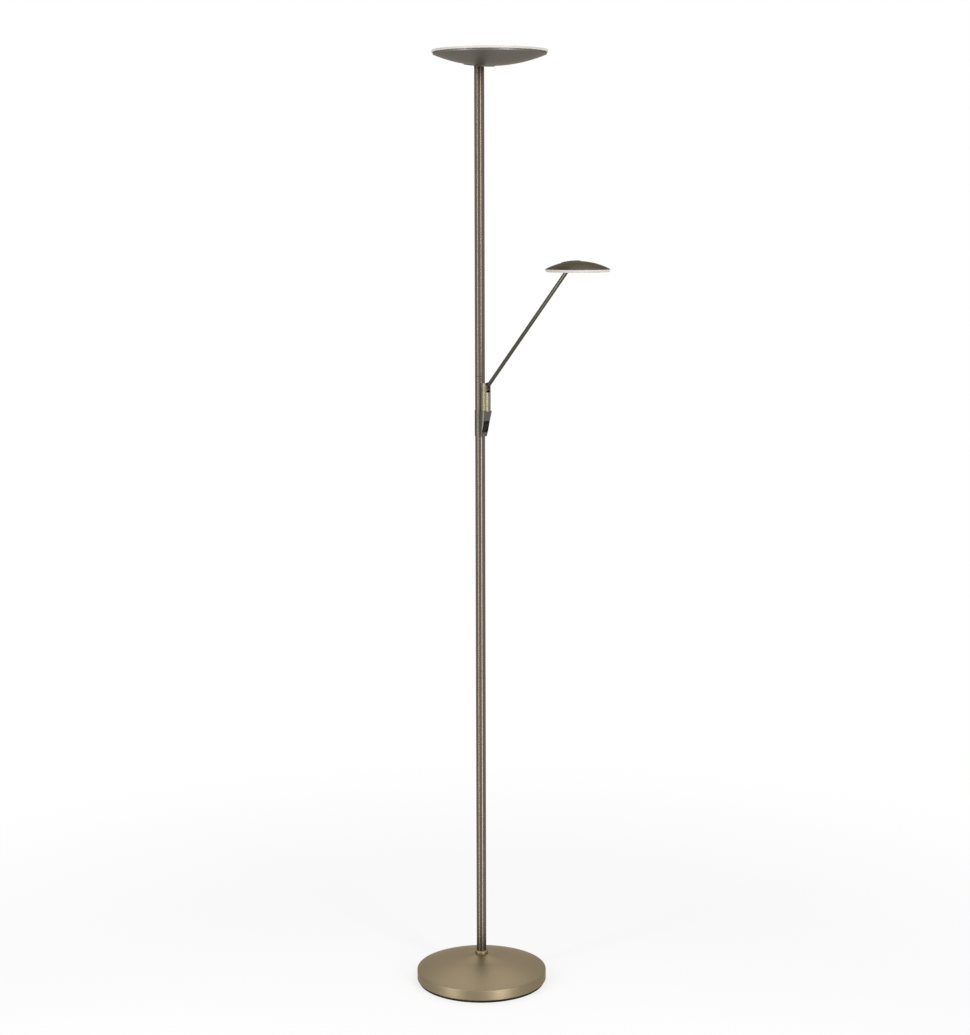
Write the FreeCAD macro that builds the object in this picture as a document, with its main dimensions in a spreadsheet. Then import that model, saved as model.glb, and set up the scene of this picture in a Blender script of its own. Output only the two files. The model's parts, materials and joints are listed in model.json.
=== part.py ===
import FreeCAD, Part
import math
import os
import Sketcher

# Floor lamp: weighted round base, slim pole, shallow uplighter bowl, and a reading head on a jointed arm.
# Millimetres. Origin at the centre of the underside on the floor, +Z up, the arm and the bowl reach to +X.

doc = FreeCAD.newDocument("floor_lamp")
sheet = doc.addObject("Spreadsheet::Sheet", "Sizes")


class Size:
    """A length, angle or count with the expression that works it out from the sheet."""

    def __init__(self, number, text):
        self.number = float(number)
        self.text = text

    def _join(self, other, sign, result, swapped=False):
        other_text = other.text if isinstance(other, Size) else repr(float(other))
        pair = (other_text, self.text) if swapped else (self.text, other_text)
        return Size(result, "(%s %s %s)" % (pair[0], sign, pair[1]))

    def __add__(self, other):
        return self._join(other, "+", self.number + plain(other))

    def __radd__(self, other):
        return self._join(other, "+", plain(other) + self.number, True)

    def __sub__(self, other):
        return self._join(other, "-", self.number - plain(other))

    def __rsub__(self, other):
        return self._join(other, "-", plain(other) - self.number, True)

    def __mul__(self, other):
        return self._join(other, "*", self.number * plain(other))

    def __rmul__(self, other):
        return self._join(other, "*", plain(other) * self.number, True)

    def __truediv__(self, other):
        return self._join(other, "/", self.number / plain(other))

    def __neg__(self):
        return Size(-self.number, "(0 - %s)" % self.text)


def plain(value):
    """The bare number of a Size, or the number itself."""
    return value.number if isinstance(value, Size) else float(value)


def root(value):
    return Size(math.sqrt(value.number), "sqrt(%s)" % value.text)


def sine(angle):
    return Size(math.sin(math.radians(angle.number)), "sin(%s)" % angle.text)


def cosine(angle):
    return Size(math.cos(math.radians(angle.number)), "cos(%s)" % angle.text)


def arc_sine(value):
    return Size(math.degrees(math.asin(value.number)), "(asin(%s) / 1deg)" % value.text)


def arc_tangent(value):
    return Size(math.degrees(math.atan(value.number)), "(atan(%s) / 1deg)" % value.text)


def size(alias, number, meaning):
    """Write one driving dimension in the next row of the sheet and hand it back under its alias."""
    row = len(size.aliases) + 1
    size.aliases.append(alias)
    sheet.set("A%d" % row, alias)
    sheet.set("B%d" % row, repr(number))
    sheet.set("C%d" % row, meaning)
    sheet.setAlias("B%d" % row, alias)
    return Size(number, "Sizes.%s" % alias)


size.aliases = []
NONE = Size(0, "0")

# Clearances and shared small sizes
sleeve_gap = size("sleeve_gap", 0.05, "radial gap of a tight sleeve, spigot or seat inside one body")
running_gap = size("running_gap", 0.05, "radial gap of a pin that turns in its bore")
face_gap = size("face_gap", 0.06, "gap between flat faces that slide on each other")
overrun = size("overrun", 2.0, "how far a cut runs past the material")
edge_break = size("edge_break", 0.25, "broken edge on turned parts")

# Base
base_radius = size("base_radius", 127.0, "outside of the base cover")
foot_thickness = size("foot_thickness", 5.5, "foot pad under the base")
foot_inset = size("foot_inset", 3.5, "foot pad edge inside the cover edge")
cover_wall = size("cover_wall", 1.2, "sheet of the base cover")
cover_side_height = size("cover_side_height", 17.5, "straight side of the cover above its lower edge")
shoulder_radius = size("shoulder_radius", 3.0, "round between the side and the dome of the cover")
dome_edge_angle = size("dome_edge_angle", 22.0, "slope of the dome at the shoulder, degrees")
dome_waist_angle = size("dome_waist_angle", 8.0, "least slope of the dome, degrees")
dome_seat_angle = size("dome_seat_angle", 18.0, "slope of the dome beside the collar seat, degrees")
dome_waist_radius = size("dome_waist_radius", 50.0, "where the dome turns from flared to crowned")
seat_radius = size("seat_radius", 13.0, "flat seat of the cover under the collar")
plate_thickness = size("plate_thickness", 1.0, "steel plate that closes the base")
plate_inset = size("plate_inset", 0.2, "plate edge inside the cover wall")
weight_inset = size("weight_inset", 9.0, "edge of the cast weight inside the outside of the cover")
weight_thickness = size("weight_thickness", 14.0, "cast weight at its rim")
weight_hub_radius = size("weight_hub_radius", 17.0, "hub that holds the cover up")
hub_seat_radius = size("hub_seat_radius", 11.5, "flat top of the hub under the cover")
hub_cone_height = size("hub_cone_height", 3.2, "cone at the top of the hub")
recess_radius = size("recess_radius", 14.0, "recess for the nut under the weight")
recess_depth = size("recess_depth", 8.0, "recess for the nut under the weight")
channel_width = size("channel_width", 9.0, "cable channel under the weight")
channel_depth = size("channel_depth", 10.5, "cable channel under the weight")
channel_inner = size("channel_inner", 9.0, "where the cable channel ends, from the pole axis")
collar_radius = size("collar_radius", 12.6, "turned collar at the foot of the pole")
collar_height = size("collar_height", 8.0, "turned collar at the foot of the pole")
collar_round = size("collar_round", 2.4, "rounded upper edge of the collar")

# Threaded nipples, nuts and washers
nipple_radius = size("nipple_radius", 4.95, "threaded nipple")
nipple_bore = size("nipple_bore", 3.5, "radius of the hole through a nipple")
nipple_hole_gap = size("nipple_hole_gap", 0.35, "radial gap of a nipple in its hole")
nut_width = size("nut_width", 17.0, "nut across its flats")
nut_height = size("nut_height", 5.0, "nut")
washer_radius = size("washer_radius", 12.0, "plain washer")
washer_thickness = size("washer_thickness", 1.5, "plain washer")
nipple_end = size("nipple_end", 1.2, "nipple standing past its nut")

# Pole
pole_radius = size("pole_radius", 9.5, "outside of the pole tubes")
pole_wall = size("pole_wall", 1.0, "wall of the pole tubes")
lower_joint_height = size("lower_joint_height", 612.0, "joint between lower and middle tube above the floor")
upper_joint_rise = size("upper_joint_rise", 64.5, "joint between middle and upper tube above the bracket")
upper_tube_length = size("upper_tube_length", 574.0, "upper pole tube")
coupler_length = size("coupler_length", 44.0, "coupler inside a pole joint")
coupler_bore = size("coupler_bore", 5.0, "radius of the hole through a coupler")
plug_length = size("plug_length", 22.0, "threaded plug in each end of the pole")
cable_radius = size("cable_radius", 3.3, "mains cable inside the pole")
wire_hole_radius = size("wire_hole_radius", 4.0, "hole in the pole for the wires to the switch")
switch_wire_radius = size("switch_wire_radius", 3.0, "hole in the bracket for the wires to the switch")

# Cable inlet in the base wall
inlet_height = size("inlet_height", 12.6, "centre of the cable inlet above the floor")
inlet_bore = size("inlet_bore", 3.3, "radius of the hole through the grommet")
grommet_neck = size("grommet_neck", 4.6, "grommet radius in the wall")
grommet_flange = size("grommet_flange", 5.8, "grommet flange radius")
grommet_flange_thickness = size("grommet_flange_thickness", 1.5, "each flange of the grommet")
grommet_nose = size("grommet_nose", 3.0, "sleeve of the grommet inside the base")
grommet_slack = size("grommet_slack", 0.2, "inner flange of the grommet off the curved wall")

# Uplighter bowl
bowl_offset = size("bowl_offset", 36.5, "bowl axis in front of the pole axis")
bowl_radius = size("bowl_radius", 105.5, "bowl rim")
bowl_depth = size("bowl_depth", 24.2, "bowl rim above its lowest point")
bowl_lip_height = size("bowl_lip_height", 3.5, "straight lip at the rim of the bowl")
bowl_rise = size("bowl_rise", 1.4, "lowest point of the bowl above the end of the pole")
bowl_wall = size("bowl_wall", 1.2, "sheet of the bowl")
flange_radius = size("flange_radius", 29.0, "thin dished plate under the bowl")
flange_thickness = size("flange_thickness", 1.0, "thin dished plate under the bowl")
wedge_radius = size("wedge_radius", 12.0, "wedge washer inside the bowl")
wedge_height = size("wedge_height", 9.0, "top of the wedge washer above the lowest point of the bowl")
led_board_height = size("led_board_height", 18.2, "underside of the LED board above the lowest point")
led_board_radius = size("led_board_radius", 80.0, "LED board in the bowl")
led_board_thickness = size("led_board_thickness", 1.6, "LED board")
spacer_ring = size("spacer_ring", 62.0, "circle of the board spacers")
spacer_radius = size("spacer_radius", 3.5, "board spacer")
screw_radius = size("screw_radius", 1.5, "board screw shank")
screw_head_radius = size("screw_head_radius", 2.8, "board screw head")
screw_head_height = size("screw_head_height", 1.6, "board screw head")
screw_length = size("screw_length", 8.0, "board screw shank")
chip_width = size("chip_width", 2.8, "LED package")
chip_length = size("chip_length", 3.5, "LED package")
chip_height = size("chip_height", 0.8, "LED package")
outer_chip_ring = size("outer_chip_ring", 71.0, "outer circle of LED packages in the bowl")
inner_chip_ring = size("inner_chip_ring", 46.0, "inner circle of LED packages in the bowl")
driver_length = size("driver_length", 56.0, "driver box under the board")
driver_width = size("driver_width", 34.0, "driver box under the board")
driver_height = size("driver_height", 8.6, "driver box under the board")
driver_place = size("driver_place", 22.0, "driver centre in front of the bowl axis")
lens_radius = size("lens_radius", 107.6, "diffuser on the bowl")
lens_edge = size("lens_edge", 4.0, "height of the diffuser edge above the bowl rim")
lens_crown = size("lens_crown", 0.4, "diffuser crown above its edge")
lens_wall = size("lens_wall", 2.2, "diffuser thickness")
lens_skirt = size("lens_skirt", 3.6, "width of the diffuser rim that lies on the bowl")
lens_leg_ring = size("lens_leg_ring", 59.0, "circle of the diffuser legs")
lens_leg_radius = size("lens_leg_radius", 3.2, "diffuser leg")

# Bracket on the pole
bracket_rise = size("bracket_rise", 470.5, "lower edge of the bracket above the lower joint of the pole")
bracket_height = size("bracket_height", 49.0, "bracket housing")
sleeve_wall = size("sleeve_wall", 0.7, "bracket wall around the back of the pole")
stub_offset = size("stub_offset", 20.7, "stub and swivel axis in front of the pole axis")
stub_radius = size("stub_radius", 9.0, "stub and swivel head")
boss_wall = size("boss_wall", 2.2, "bracket wall beyond the stub at the top")
nose_place = size("nose_place", 11.0, "centre of the bracket nose at its lower edge")
nose_radius = size("nose_radius", 7.0, "bracket nose at its lower edge")
waist_inset = size("waist_inset", 0.1, "flat waist between sleeve and boss inside the width of the nose")
face_low = size("face_low", 14.2, "front face of the bracket at its lower edge, from the pole axis")
face_lead = size("face_lead", 0.2, "front face beyond the stub at the top")
stub_height = size("stub_height", 10.0, "fixed stub above the bracket")
clamp_screw_radius = size("clamp_screw_radius", 2.0, "set screw that clamps the bracket")
clamp_screw_length = size("clamp_screw_length", 3.2, "set screw that clamps the bracket")
clamp_screw_drop = size("clamp_screw_drop", 10.0, "set screw below the top of the bracket")
clamp_screw_angle = size("clamp_screw_angle", 32.0, "set screw round from the front, degrees")
clamp_socket_width = size("clamp_socket_width", 2.0, "hexagon socket of the set screw")
clamp_socket_depth = size("clamp_socket_depth", 1.8, "hexagon socket of the set screw")

# Rocker switch on the slanted front face
switch_rise = size("switch_rise", 19.0, "centre of the switch above the lower edge of the bracket")
bezel_length = size("bezel_length", 22.6, "switch bezel along the face")
bezel_width = size("bezel_width", 12.0, "switch bezel across the face")
bezel_thickness = size("bezel_thickness", 1.0, "switch bezel above the face")
bezel_round = size("bezel_round", 1.0, "bezel corners")
switch_body_length = size("switch_body_length", 18.6, "switch body in the bracket")
switch_body_width = size("switch_body_width", 9.4, "switch body in the bracket")
switch_body_depth = size("switch_body_depth", 6.4, "switch body behind the face")
rocker_length = size("rocker_length", 15.4, "rocker")
rocker_width = size("rocker_width", 6.8, "rocker")
rocker_depth = size("rocker_depth", 3.4, "rocker below its pivot")
rocker_rise = size("rocker_rise", 2.6, "rocker ends above its pivot")
rocker_dish = size("rocker_dish", 0.9, "how far the middle of the rocker lies below its ends")
rocker_pin_radius = size("rocker_pin_radius", 0.8, "rocker trunnions")
rocker_pin_reach = size("rocker_pin_reach", 0.8, "trunnion in the wall of the switch")
rocker_pivot_depth = size("rocker_pivot_depth", 1.2, "rocker pivot below the bracket face")
rocker_tilt = size("rocker_tilt", 8.0, "tilt of the rocker at rest, degrees")
rocker_gap = size("rocker_gap", 0.35, "gap round the rocker")

# Swivel head and hinge of the arm
seam = size("seam", 0.4, "washer seen as a seam between stub and swivel head")
seam_inset = size("seam_inset", 0.7, "washer edge inside the stub")
pivot_rise = size("pivot_rise", 31.0, "hinge of the arm above the lower end of the swivel head")
ear_rise = size("ear_rise", 3.6, "centre of the rounded ears above the hinge")
slot_width = size("slot_width", 8.0, "slot of the swivel head")
slot_floor = size("slot_floor", 5.7, "slot floor below the hinge")
slot_back = size("slot_back", 5.2, "slot behind the hinge")
bolt_radius = size("bolt_radius", 3.0, "hollow swivel bolt")
bolt_bore = size("bolt_bore", 1.7, "wire hole of the swivel bolt")
bolt_head_radius = size("bolt_head_radius", 3.7, "head of the swivel bolt")
bolt_head_height = size("bolt_head_height", 3.0, "head of the swivel bolt")
bolt_seat_drop = size("bolt_seat_drop", 16.0, "seat of the swivel bolt below the hinge")
bolt_thread = size("bolt_thread", 11.0, "swivel bolt in the bracket")
spring_washer_thickness = size("spring_washer_thickness", 0.6, "washer under the bolt head")
hinge_pin_radius = size("hinge_pin_radius", 2.0, "hinge pin of the arm")
hinge_head_radius = size("hinge_head_radius", 3.2, "sunk head of the hinge pin")
hinge_head_height = size("hinge_head_height", 1.4, "sunk head of the hinge pin")
hinge_head_sink = size("hinge_head_sink", 0.7, "pin head below the widest place of the ear")
driver_slot_width = size("driver_slot_width", 0.8, "screwdriver slot")
driver_slot_depth = size("driver_slot_depth", 0.7, "screwdriver slot")
friction_washer_radius = size("friction_washer_radius", 4.4, "friction washer beside the arm eye")
friction_washer_thickness = size("friction_washer_thickness", 0.4, "friction washer beside the arm eye")

# Arm
arm_elevation = size("arm_elevation", 40.4, "arm above the horizontal at rest, degrees")
arm_length = size("arm_length", 366.0, "from the lower hinge to the upper hinge")
arm_radius = size("arm_radius", 3.6, "arm tube")
arm_wall = size("arm_wall", 0.8, "arm tube")
arm_eye_radius = size("arm_eye_radius", 4.8, "lower eye of the arm")
spigot_length = size("spigot_length", 16.0, "end fitting inside the arm tube")
arm_wire_radius = size("arm_wire_radius", 1.4, "wires inside the arm")
arm_wire_gap = size("arm_wire_gap", 0.1, "gap round the wires in the end fittings")
tube_start = size("tube_start", 9.5, "lower hinge to the start of the arm tube")
arm_neck_radius = size("arm_neck_radius", 3.45, "neck between lower eye and tube")
wire_exit_radius = size("wire_exit_radius", 1.3, "wire exit in the side of each end fitting")
wire_exit_place = size("wire_exit_place", 7.8, "lower wire exit from the lower hinge")
knuckle_radius = size("knuckle_radius", 3.2, "upper eye of the arm")
knuckle_width = size("knuckle_width", 5.0, "upper eye of the arm")
knuckle_neck = size("knuckle_neck", 7.4, "upper hinge to the end of the arm tube")
knuckle_neck_radius = size("knuckle_neck_radius", 2.35, "neck between tube and upper eye")
upper_exit_share = size("upper_exit_share", 0.3, "upper wire exit as a share of the neck")

# Reading head
head_radius = size("head_radius", 58.0, "rim of the reading head")
head_depth = size("head_depth", 14.5, "top of the reading head above its rim")
head_wall = size("head_wall", 1.0, "sheet of the reading head")
head_hinge_back = size("head_hinge_back", 21.0, "upper hinge behind the centre of the head")
head_hinge_rise = size("head_hinge_rise", 6.2, "upper hinge above the rim plane")
cap_radius = size("cap_radius", 18.0, "raised cap on the head")
cap_thickness = size("cap_thickness", 1.0, "raised cap on the head")
cap_round = size("cap_round", 0.6, "rounded edge of the cap")
fork_ear = size("fork_ear", 1.9, "each ear of the fork in the head")
fork_eye_radius = size("fork_eye_radius", 4.0, "rounded end of an ear")
fork_seat = size("fork_seat", 3.7, "underside of the fork plate above the hinge")
fork_front = size("fork_front", 9.0, "fork plate in front of the hinge")
fork_half_width = size("fork_half_width", 10.0, "half width of the fork plate")
head_pin_radius = size("head_pin_radius", 1.5, "upper hinge pin")
cap_screw_radius = size("cap_screw_radius", 1.4, "screws that hold the fork to the cap")
cap_screw_front = size("cap_screw_front", 4.0, "cap screws in front of the hinge")
cap_screw_side = size("cap_screw_side", 7.2, "cap screws beside the mirror plane")
cap_screw_head = size("cap_screw_head", 2.4, "head radius of the cap screws")
cap_screw_head_height = size("cap_screw_head_height", 1.5, "head of the cap screws")
cap_screw_bite = size("cap_screw_bite", 0.5, "cap screw above the outside of the shell")
head_board_radius = size("head_board_radius", 49.8, "LED board in the reading head")
head_board_rise = size("head_board_rise", 1.0, "LED board above the rim plane")
head_board_slot = size("head_board_slot", 11.0, "slot of the board for fork and arm")
head_slot_front = size("head_slot_front", 8.6, "slots reach this far past the upper hinge")
head_outer_ring = size("head_outer_ring", 46.4, "outer circle of LED packages in the head")
head_inner_ring = size("head_inner_ring", 30.0, "inner circle of LED packages in the head")
head_post_ring = size("head_post_ring", 40.0, "circle of the board posts in the head")
head_post_radius = size("head_post_radius", 2.5, "board post in the head")
head_screw_bite = size("head_screw_bite", 2.8, "board screw in its post in the head")
shade_radius = size("shade_radius", 57.2, "diffuser of the reading head")
shade_drop = size("shade_drop", 5.0, "diffuser below the rim plane")
shade_wall = size("shade_wall", 2.0, "diffuser thickness")
shade_round = size("shade_round", 4.2, "rounded lower edge of the diffuser")
shade_slot = size("shade_slot", 9.2, "slot of the diffuser for the arm")
shade_leg_ring = size("shade_leg_ring", 46.4, "circle of the diffuser legs in the head")
shade_leg_radius = size("shade_leg_radius", 2.0, "diffuser leg in the head")

sheet.recompute()


def body(label, place=(NONE, NONE, NONE), turn=None):
    """An empty body with its name, its place and, if given, its turn about the Y axis in degrees."""
    piece = doc.addObject("PartDesign::Body", label)
    piece.Label = label
    set_place(piece, place, turn)
    return piece


def set_place(piece, place, turn=None, axis=FreeCAD.Vector(0, 1, 0)):
    """Bind the position, and the turn about the given axis, of a piece to the sheet."""
    spin = FreeCAD.Rotation(axis, plain(turn) if turn else 0)
    piece.Placement = FreeCAD.Placement(FreeCAD.Vector(*[plain(value) for value in place]), spin)
    for letter, value in zip("xyz", place):
        piece.setExpression("Placement.Base.%s" % letter, value.text)
    if turn:
        piece.setExpression("Placement.Rotation.Angle", turn.text)


def sketch_on(piece, plane, lift=None):
    """A sketch on one of the piece's own origin planes, lifted along the plane's normal if asked."""
    sketch = piece.newObject("Sketcher::SketchObject", piece.Label + "_sketch")
    support = [feature for feature in piece.Origin.OriginFeatures if feature.Role == plane][0]
    sketch.AttachmentSupport = [(support, "")]
    sketch.MapMode = "FlatFace"
    if lift:
        sketch.setExpression("AttachmentOffset.Base.z", lift.text)
    return sketch


def bind(sketch, kind, geometry, vertex, value):
    """Hold one coordinate of a point, or one radius, at a size from the sheet."""
    if kind == "Radius":
        index = sketch.addConstraint(Sketcher.Constraint(kind, geometry, value.number))
    else:
        index = sketch.addConstraint(Sketcher.Constraint(kind, -1, 1, geometry, vertex, value.number))
    sketch.setExpression("Constraints[%d]" % index, value.text)


def outline(sketch, corners, bends=None):
    """Closed outline through corners; an edge listed in bends is an arc of that radius.

    A bend is (radius, side): side 1 has the arc's centre on the left of the walk, side -1 on the right.
    """
    bends = bends or {}
    count = len(corners)
    starts, ends = [], []
    for edge in range(count):
        after = corners[(edge + 1) % count]
        here = FreeCAD.Vector(plain(corners[edge][0]), plain(corners[edge][1]), 0)
        there = FreeCAD.Vector(plain(after[0]), plain(after[1]), 0)
        if edge in bends:
            radius, side = bends[edge]
            middle = (here + there) / 2
            chord = there - here
            rise = math.sqrt(max(radius.number ** 2 - chord.Length ** 2 / 4, 0))
            left = FreeCAD.Vector(-chord.y, chord.x, 0).normalize()
            centre = middle + left * rise * side
            first, last = (here, there) if side > 0 else (there, here)
            angles = [math.atan2(point.y - centre.y, point.x - centre.x) for point in (first, last)]
            if angles[1] < angles[0]:
                angles[1] += 2 * math.pi
            circle = Part.Circle(centre, FreeCAD.Vector(0, 0, 1), radius.number)
            index = sketch.addGeometry(Part.ArcOfCircle(circle, angles[0], angles[1]), False)
            starts.append((index, 1 if side > 0 else 2))
            ends.append((index, 2 if side > 0 else 1))
        else:
            index = sketch.addGeometry(Part.LineSegment(here, there), False)
            starts.append((index, 1))
            ends.append((index, 2))
    for edge in range(count):
        after = (edge + 1) % count
        sketch.addConstraint(Sketcher.Constraint("Coincident", *ends[edge], *starts[after]))
    for edge in range(count):
        bind(sketch, "DistanceX", *starts[edge], corners[edge][0])
        bind(sketch, "DistanceY", *starts[edge], corners[edge][1])
        if edge in bends:
            bind(sketch, "Radius", starts[edge][0], 0, bends[edge][0])
    return sketch


def circle(sketch, radius, across=NONE, up=NONE):
    """A full circle, centred at a place of the sketch."""
    ring = Part.Circle(FreeCAD.Vector(across.number, up.number, 0), FreeCAD.Vector(0, 0, 1), radius.number)
    index = sketch.addGeometry(ring, False)
    bind(sketch, "Radius", index, 0, radius)
    bind(sketch, "DistanceX", index, 3, across)
    bind(sketch, "DistanceY", index, 3, up)
    return sketch


def rectangle(low, high):
    """Corners of a rectangle from its low and high corner."""
    return [low, (high[0], low[1]), high, (low[0], high[1])]


def turned(piece, corners, bends=None):
    """Turn a profile, drawn as distance from the axis and height, once round the piece's Z axis."""
    sketch = outline(sketch_on(piece, "XZ_Plane"), corners, bends)
    solid = piece.newObject("PartDesign::Revolution", piece.Label + "_turned")
    solid.Profile = sketch
    solid.ReferenceAxis = (sketch, ["V_Axis"])
    solid.Angle = 360
    piece.Tip = solid
    return solid


def pad(piece, sketch, length, middle=False, down=False):
    """Pad a sketch along its normal, to both sides alike, or against its normal."""
    solid = piece.newObject("PartDesign::Pad", piece.Label + "_pad")
    solid.Profile = sketch
    solid.setExpression("Length", length.text)
    solid.Midplane = middle
    solid.Reversed = down
    piece.Tip = solid
    return solid


def pocket(piece, sketch, length, middle=False, up=False):
    """Cut a sketch into the piece against its normal, to both sides alike, or along its normal."""
    doc.recompute()
    before = piece.Shape.Volume
    cut = piece.newObject("PartDesign::Pocket", piece.Label + "_pocket")
    cut.Profile = sketch
    cut.setExpression("Length", length.text)
    cut.Midplane = middle
    cut.Reversed = up
    piece.Tip = cut
    doc.recompute()
    if not piece.Shape.Volume < before:
        raise ValueError("a cut in %s removed nothing" % piece.Label)
    return cut


def tube(label, outer, inner, low, high):
    """A plain tube between two heights on the pole axis."""
    piece = body(label, (NONE, NONE, low))
    sketch = circle(circle(sketch_on(piece, "XY_Plane"), outer), inner)
    pad(piece, sketch, high - low)
    return piece


def primitive(kind, name, place, turn=None, axis=FreeCAD.Vector(0, 1, 0), **sizes):
    """A Part primitive with its sizes, place and turn bound to the sheet."""
    solid = doc.addObject("Part::" + kind, name)
    for field, value in sizes.items():
        solid.setExpression(field, value.text)
    set_place(solid, place, turn, axis)
    return solid


def joined(label, kind, first, second):
    """A cut or common of two objects, under its own name."""
    result = doc.addObject("Part::" + kind, label)
    result.Label = label
    result.Base = first
    result.Tool = second
    return result


def common(label, first, second):
    result = doc.addObject("Part::Common", label)
    result.Label = label
    result.Base = first
    result.Tool = second
    return result


def group(label, members):
    """Like pieces that share one name, kept as separate solids."""
    result = doc.addObject("Part::Compound", label)
    result.Label = label
    result.Links = members
    return result


nodes = []

# Heights along the pole, each worked out from the piece below it
bracket_bottom = lower_joint_height + bracket_rise
bracket_top = bracket_bottom + bracket_height
upper_joint_height = bracket_top + upper_joint_rise
pole_top = upper_joint_height + upper_tube_length
bowl_bottom = pole_top + bowl_rise
switch_height = bracket_bottom + switch_rise
stub_top = bracket_top + stub_height
swivel_low = stub_top + seam + face_gap
pivot_height = swivel_low + pivot_rise

# Base cover: pressed sheet with a straight side, a rounded shoulder and a dome that flares up to the pole
cover_low = foot_thickness
side_top = cover_low + cover_side_height
edge_in = base_radius - shoulder_radius * (1 - sine(dome_edge_angle))
edge_up = side_top + shoulder_radius * cosine(dome_edge_angle)
crown_radius = (edge_in - dome_waist_radius) / (sine(dome_edge_angle) - sine(dome_waist_angle))
waist_up = edge_up + crown_radius * (cosine(dome_waist_angle) - cosine(dome_edge_angle))
flare_radius = (dome_waist_radius - seat_radius) / (sine(dome_seat_angle) - sine(dome_waist_angle))
seat_up = waist_up + flare_radius * (cosine(dome_waist_angle) - cosine(dome_seat_angle))
nipple_hole = nipple_radius + nipple_hole_gap
outer_line = [(base_radius, side_top), (edge_in, edge_up), (dome_waist_radius, waist_up),
              (seat_radius, seat_up)]
inner_line = [(across - cover_wall, up - cover_wall) for across, up in reversed(outer_line)]
cover_corners = [(base_radius, cover_low)] + outer_line + [(nipple_hole, seat_up)]
cover_corners += [(nipple_hole, seat_up - cover_wall)] + inner_line + [(base_radius - cover_wall, cover_low)]
cover_bends = {1: (shoulder_radius, 1), 2: (crown_radius, 1), 3: (flare_radius, -1)}
cover_bends.update({7: (flare_radius, 1), 8: (crown_radius, -1), 9: (shoulder_radius, -1)})
cover = body("base_cover")
turned(cover, cover_corners, cover_bends)
grommet_hole = grommet_neck + sleeve_gap
inlet = circle(sketch_on(cover, "YZ_Plane"), grommet_hole, NONE, inlet_height)
pocket(cover, inlet, base_radius + overrun)
nodes.append(cover)

# Foot pad, closing plate and cast weight
foot = body("foot_pad")
pad(foot, circle(sketch_on(foot, "XY_Plane"), base_radius - foot_inset), foot_thickness)
nodes.append(foot)

plate = body("base_plate", (NONE, NONE, foot_thickness))
plate_sketch = circle(sketch_on(plate, "XY_Plane"), base_radius - cover_wall - plate_inset)
pad(plate, circle(plate_sketch, recess_radius), plate_thickness)
nodes.append(plate)

weight_low = foot_thickness + plate_thickness
weight_top = weight_low + weight_thickness
hub_top = seat_up - cover_wall
recess_top = weight_low + recess_depth
weight_radius = base_radius - weight_inset
weight = body("base_weight")
turned(weight, [(recess_radius, weight_low), (weight_radius, weight_low), (weight_radius, weight_top),
                (weight_hub_radius, weight_top), (weight_hub_radius, hub_top - hub_cone_height),
                (hub_seat_radius, hub_top), (nipple_hole, hub_top),
                (nipple_hole, recess_top), (recess_radius, recess_top)])
channel_half = channel_width / 2
channel = outline(sketch_on(weight, "XY_Plane", weight_low),
                  rectangle((-(weight_radius + overrun), -channel_half), (-channel_inner, channel_half)))
pocket(weight, channel, channel_depth, up=True)
nodes.append(weight)

# Nipple, washer and nut that pull cover, weight and pole together
washer_low = recess_top - washer_thickness
nut_low = washer_low - nut_height
hexagon_share = root(Size(3, "3"))
nut_corner = nut_width / hexagon_share


def nut(label, place):
    """A hexagon nut on a nipple."""
    blank = primitive("Prism", label + "_blank", place, Circumradius=nut_corner, Height=nut_height)
    hole_place = (place[0], place[1], place[2] - overrun)
    hole = primitive("Cylinder", label + "_hole", hole_place, Radius=nipple_radius + sleeve_gap,
                     Height=nut_height + overrun * 2)
    return joined(label, "Cut", blank, hole)


def ring(label, outer, inner, low, thickness, across=NONE):
    """A flat washer on a vertical axis."""
    piece = body(label, (across, NONE, low))
    pad(piece, circle(circle(sketch_on(piece, "XY_Plane"), outer), inner), thickness)
    return piece


nodes.append(ring("base_washer", washer_radius, nipple_radius + sleeve_gap, washer_low, washer_thickness))
nodes.append(nut("base_nut", (NONE, NONE, nut_low)))
nodes.append(tube("base_nipple", nipple_radius, nipple_bore, nut_low - nipple_end, seat_up + plug_length))

# Collar on the cover at the foot of the pole
collar = body("base_collar", (NONE, NONE, seat_up))
collar_bore = pole_radius + sleeve_gap
turned(collar, [(collar_bore, NONE), (collar_radius, NONE), (collar_radius, collar_height - collar_round),
                (collar_radius - collar_round, collar_height), (collar_bore, collar_height)],
       {2: (collar_round, 1)})
nodes.append(collar)

# Pole in three tubes, joined by couplers, with a threaded plug at each end
pole_inner = pole_radius - pole_wall
nodes.append(tube("lower_pole", pole_radius, pole_inner, seat_up, lower_joint_height))
middle_pole = tube("middle_pole", pole_radius, pole_inner, lower_joint_height, upper_joint_height)
wire_hole = circle(sketch_on(middle_pole, "YZ_Plane"), wire_hole_radius, NONE, bracket_rise + switch_rise)
pocket(middle_pole, wire_hole, pole_radius + overrun, up=True)
nodes.append(middle_pole)
nodes.append(tube("upper_pole", pole_radius, pole_inner, upper_joint_height, pole_top))
coupler_half = coupler_length / 2
insert_radius = pole_inner - sleeve_gap
couplers = [tube("coupler_%d" % number, insert_radius, coupler_bore,
                 joint - coupler_half, joint + coupler_half)
            for number, joint in enumerate((lower_joint_height, upper_joint_height), 1)]
nodes.append(group("pole_couplers", couplers))
plug_bore = nipple_radius + sleeve_gap
plugs = [tube("plug_1", insert_radius, plug_bore, seat_up, seat_up + plug_length),
         tube("plug_2", insert_radius, plug_bore, pole_top - plug_length, pole_top)]
nodes.append(group("pole_plugs", plugs))

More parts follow.
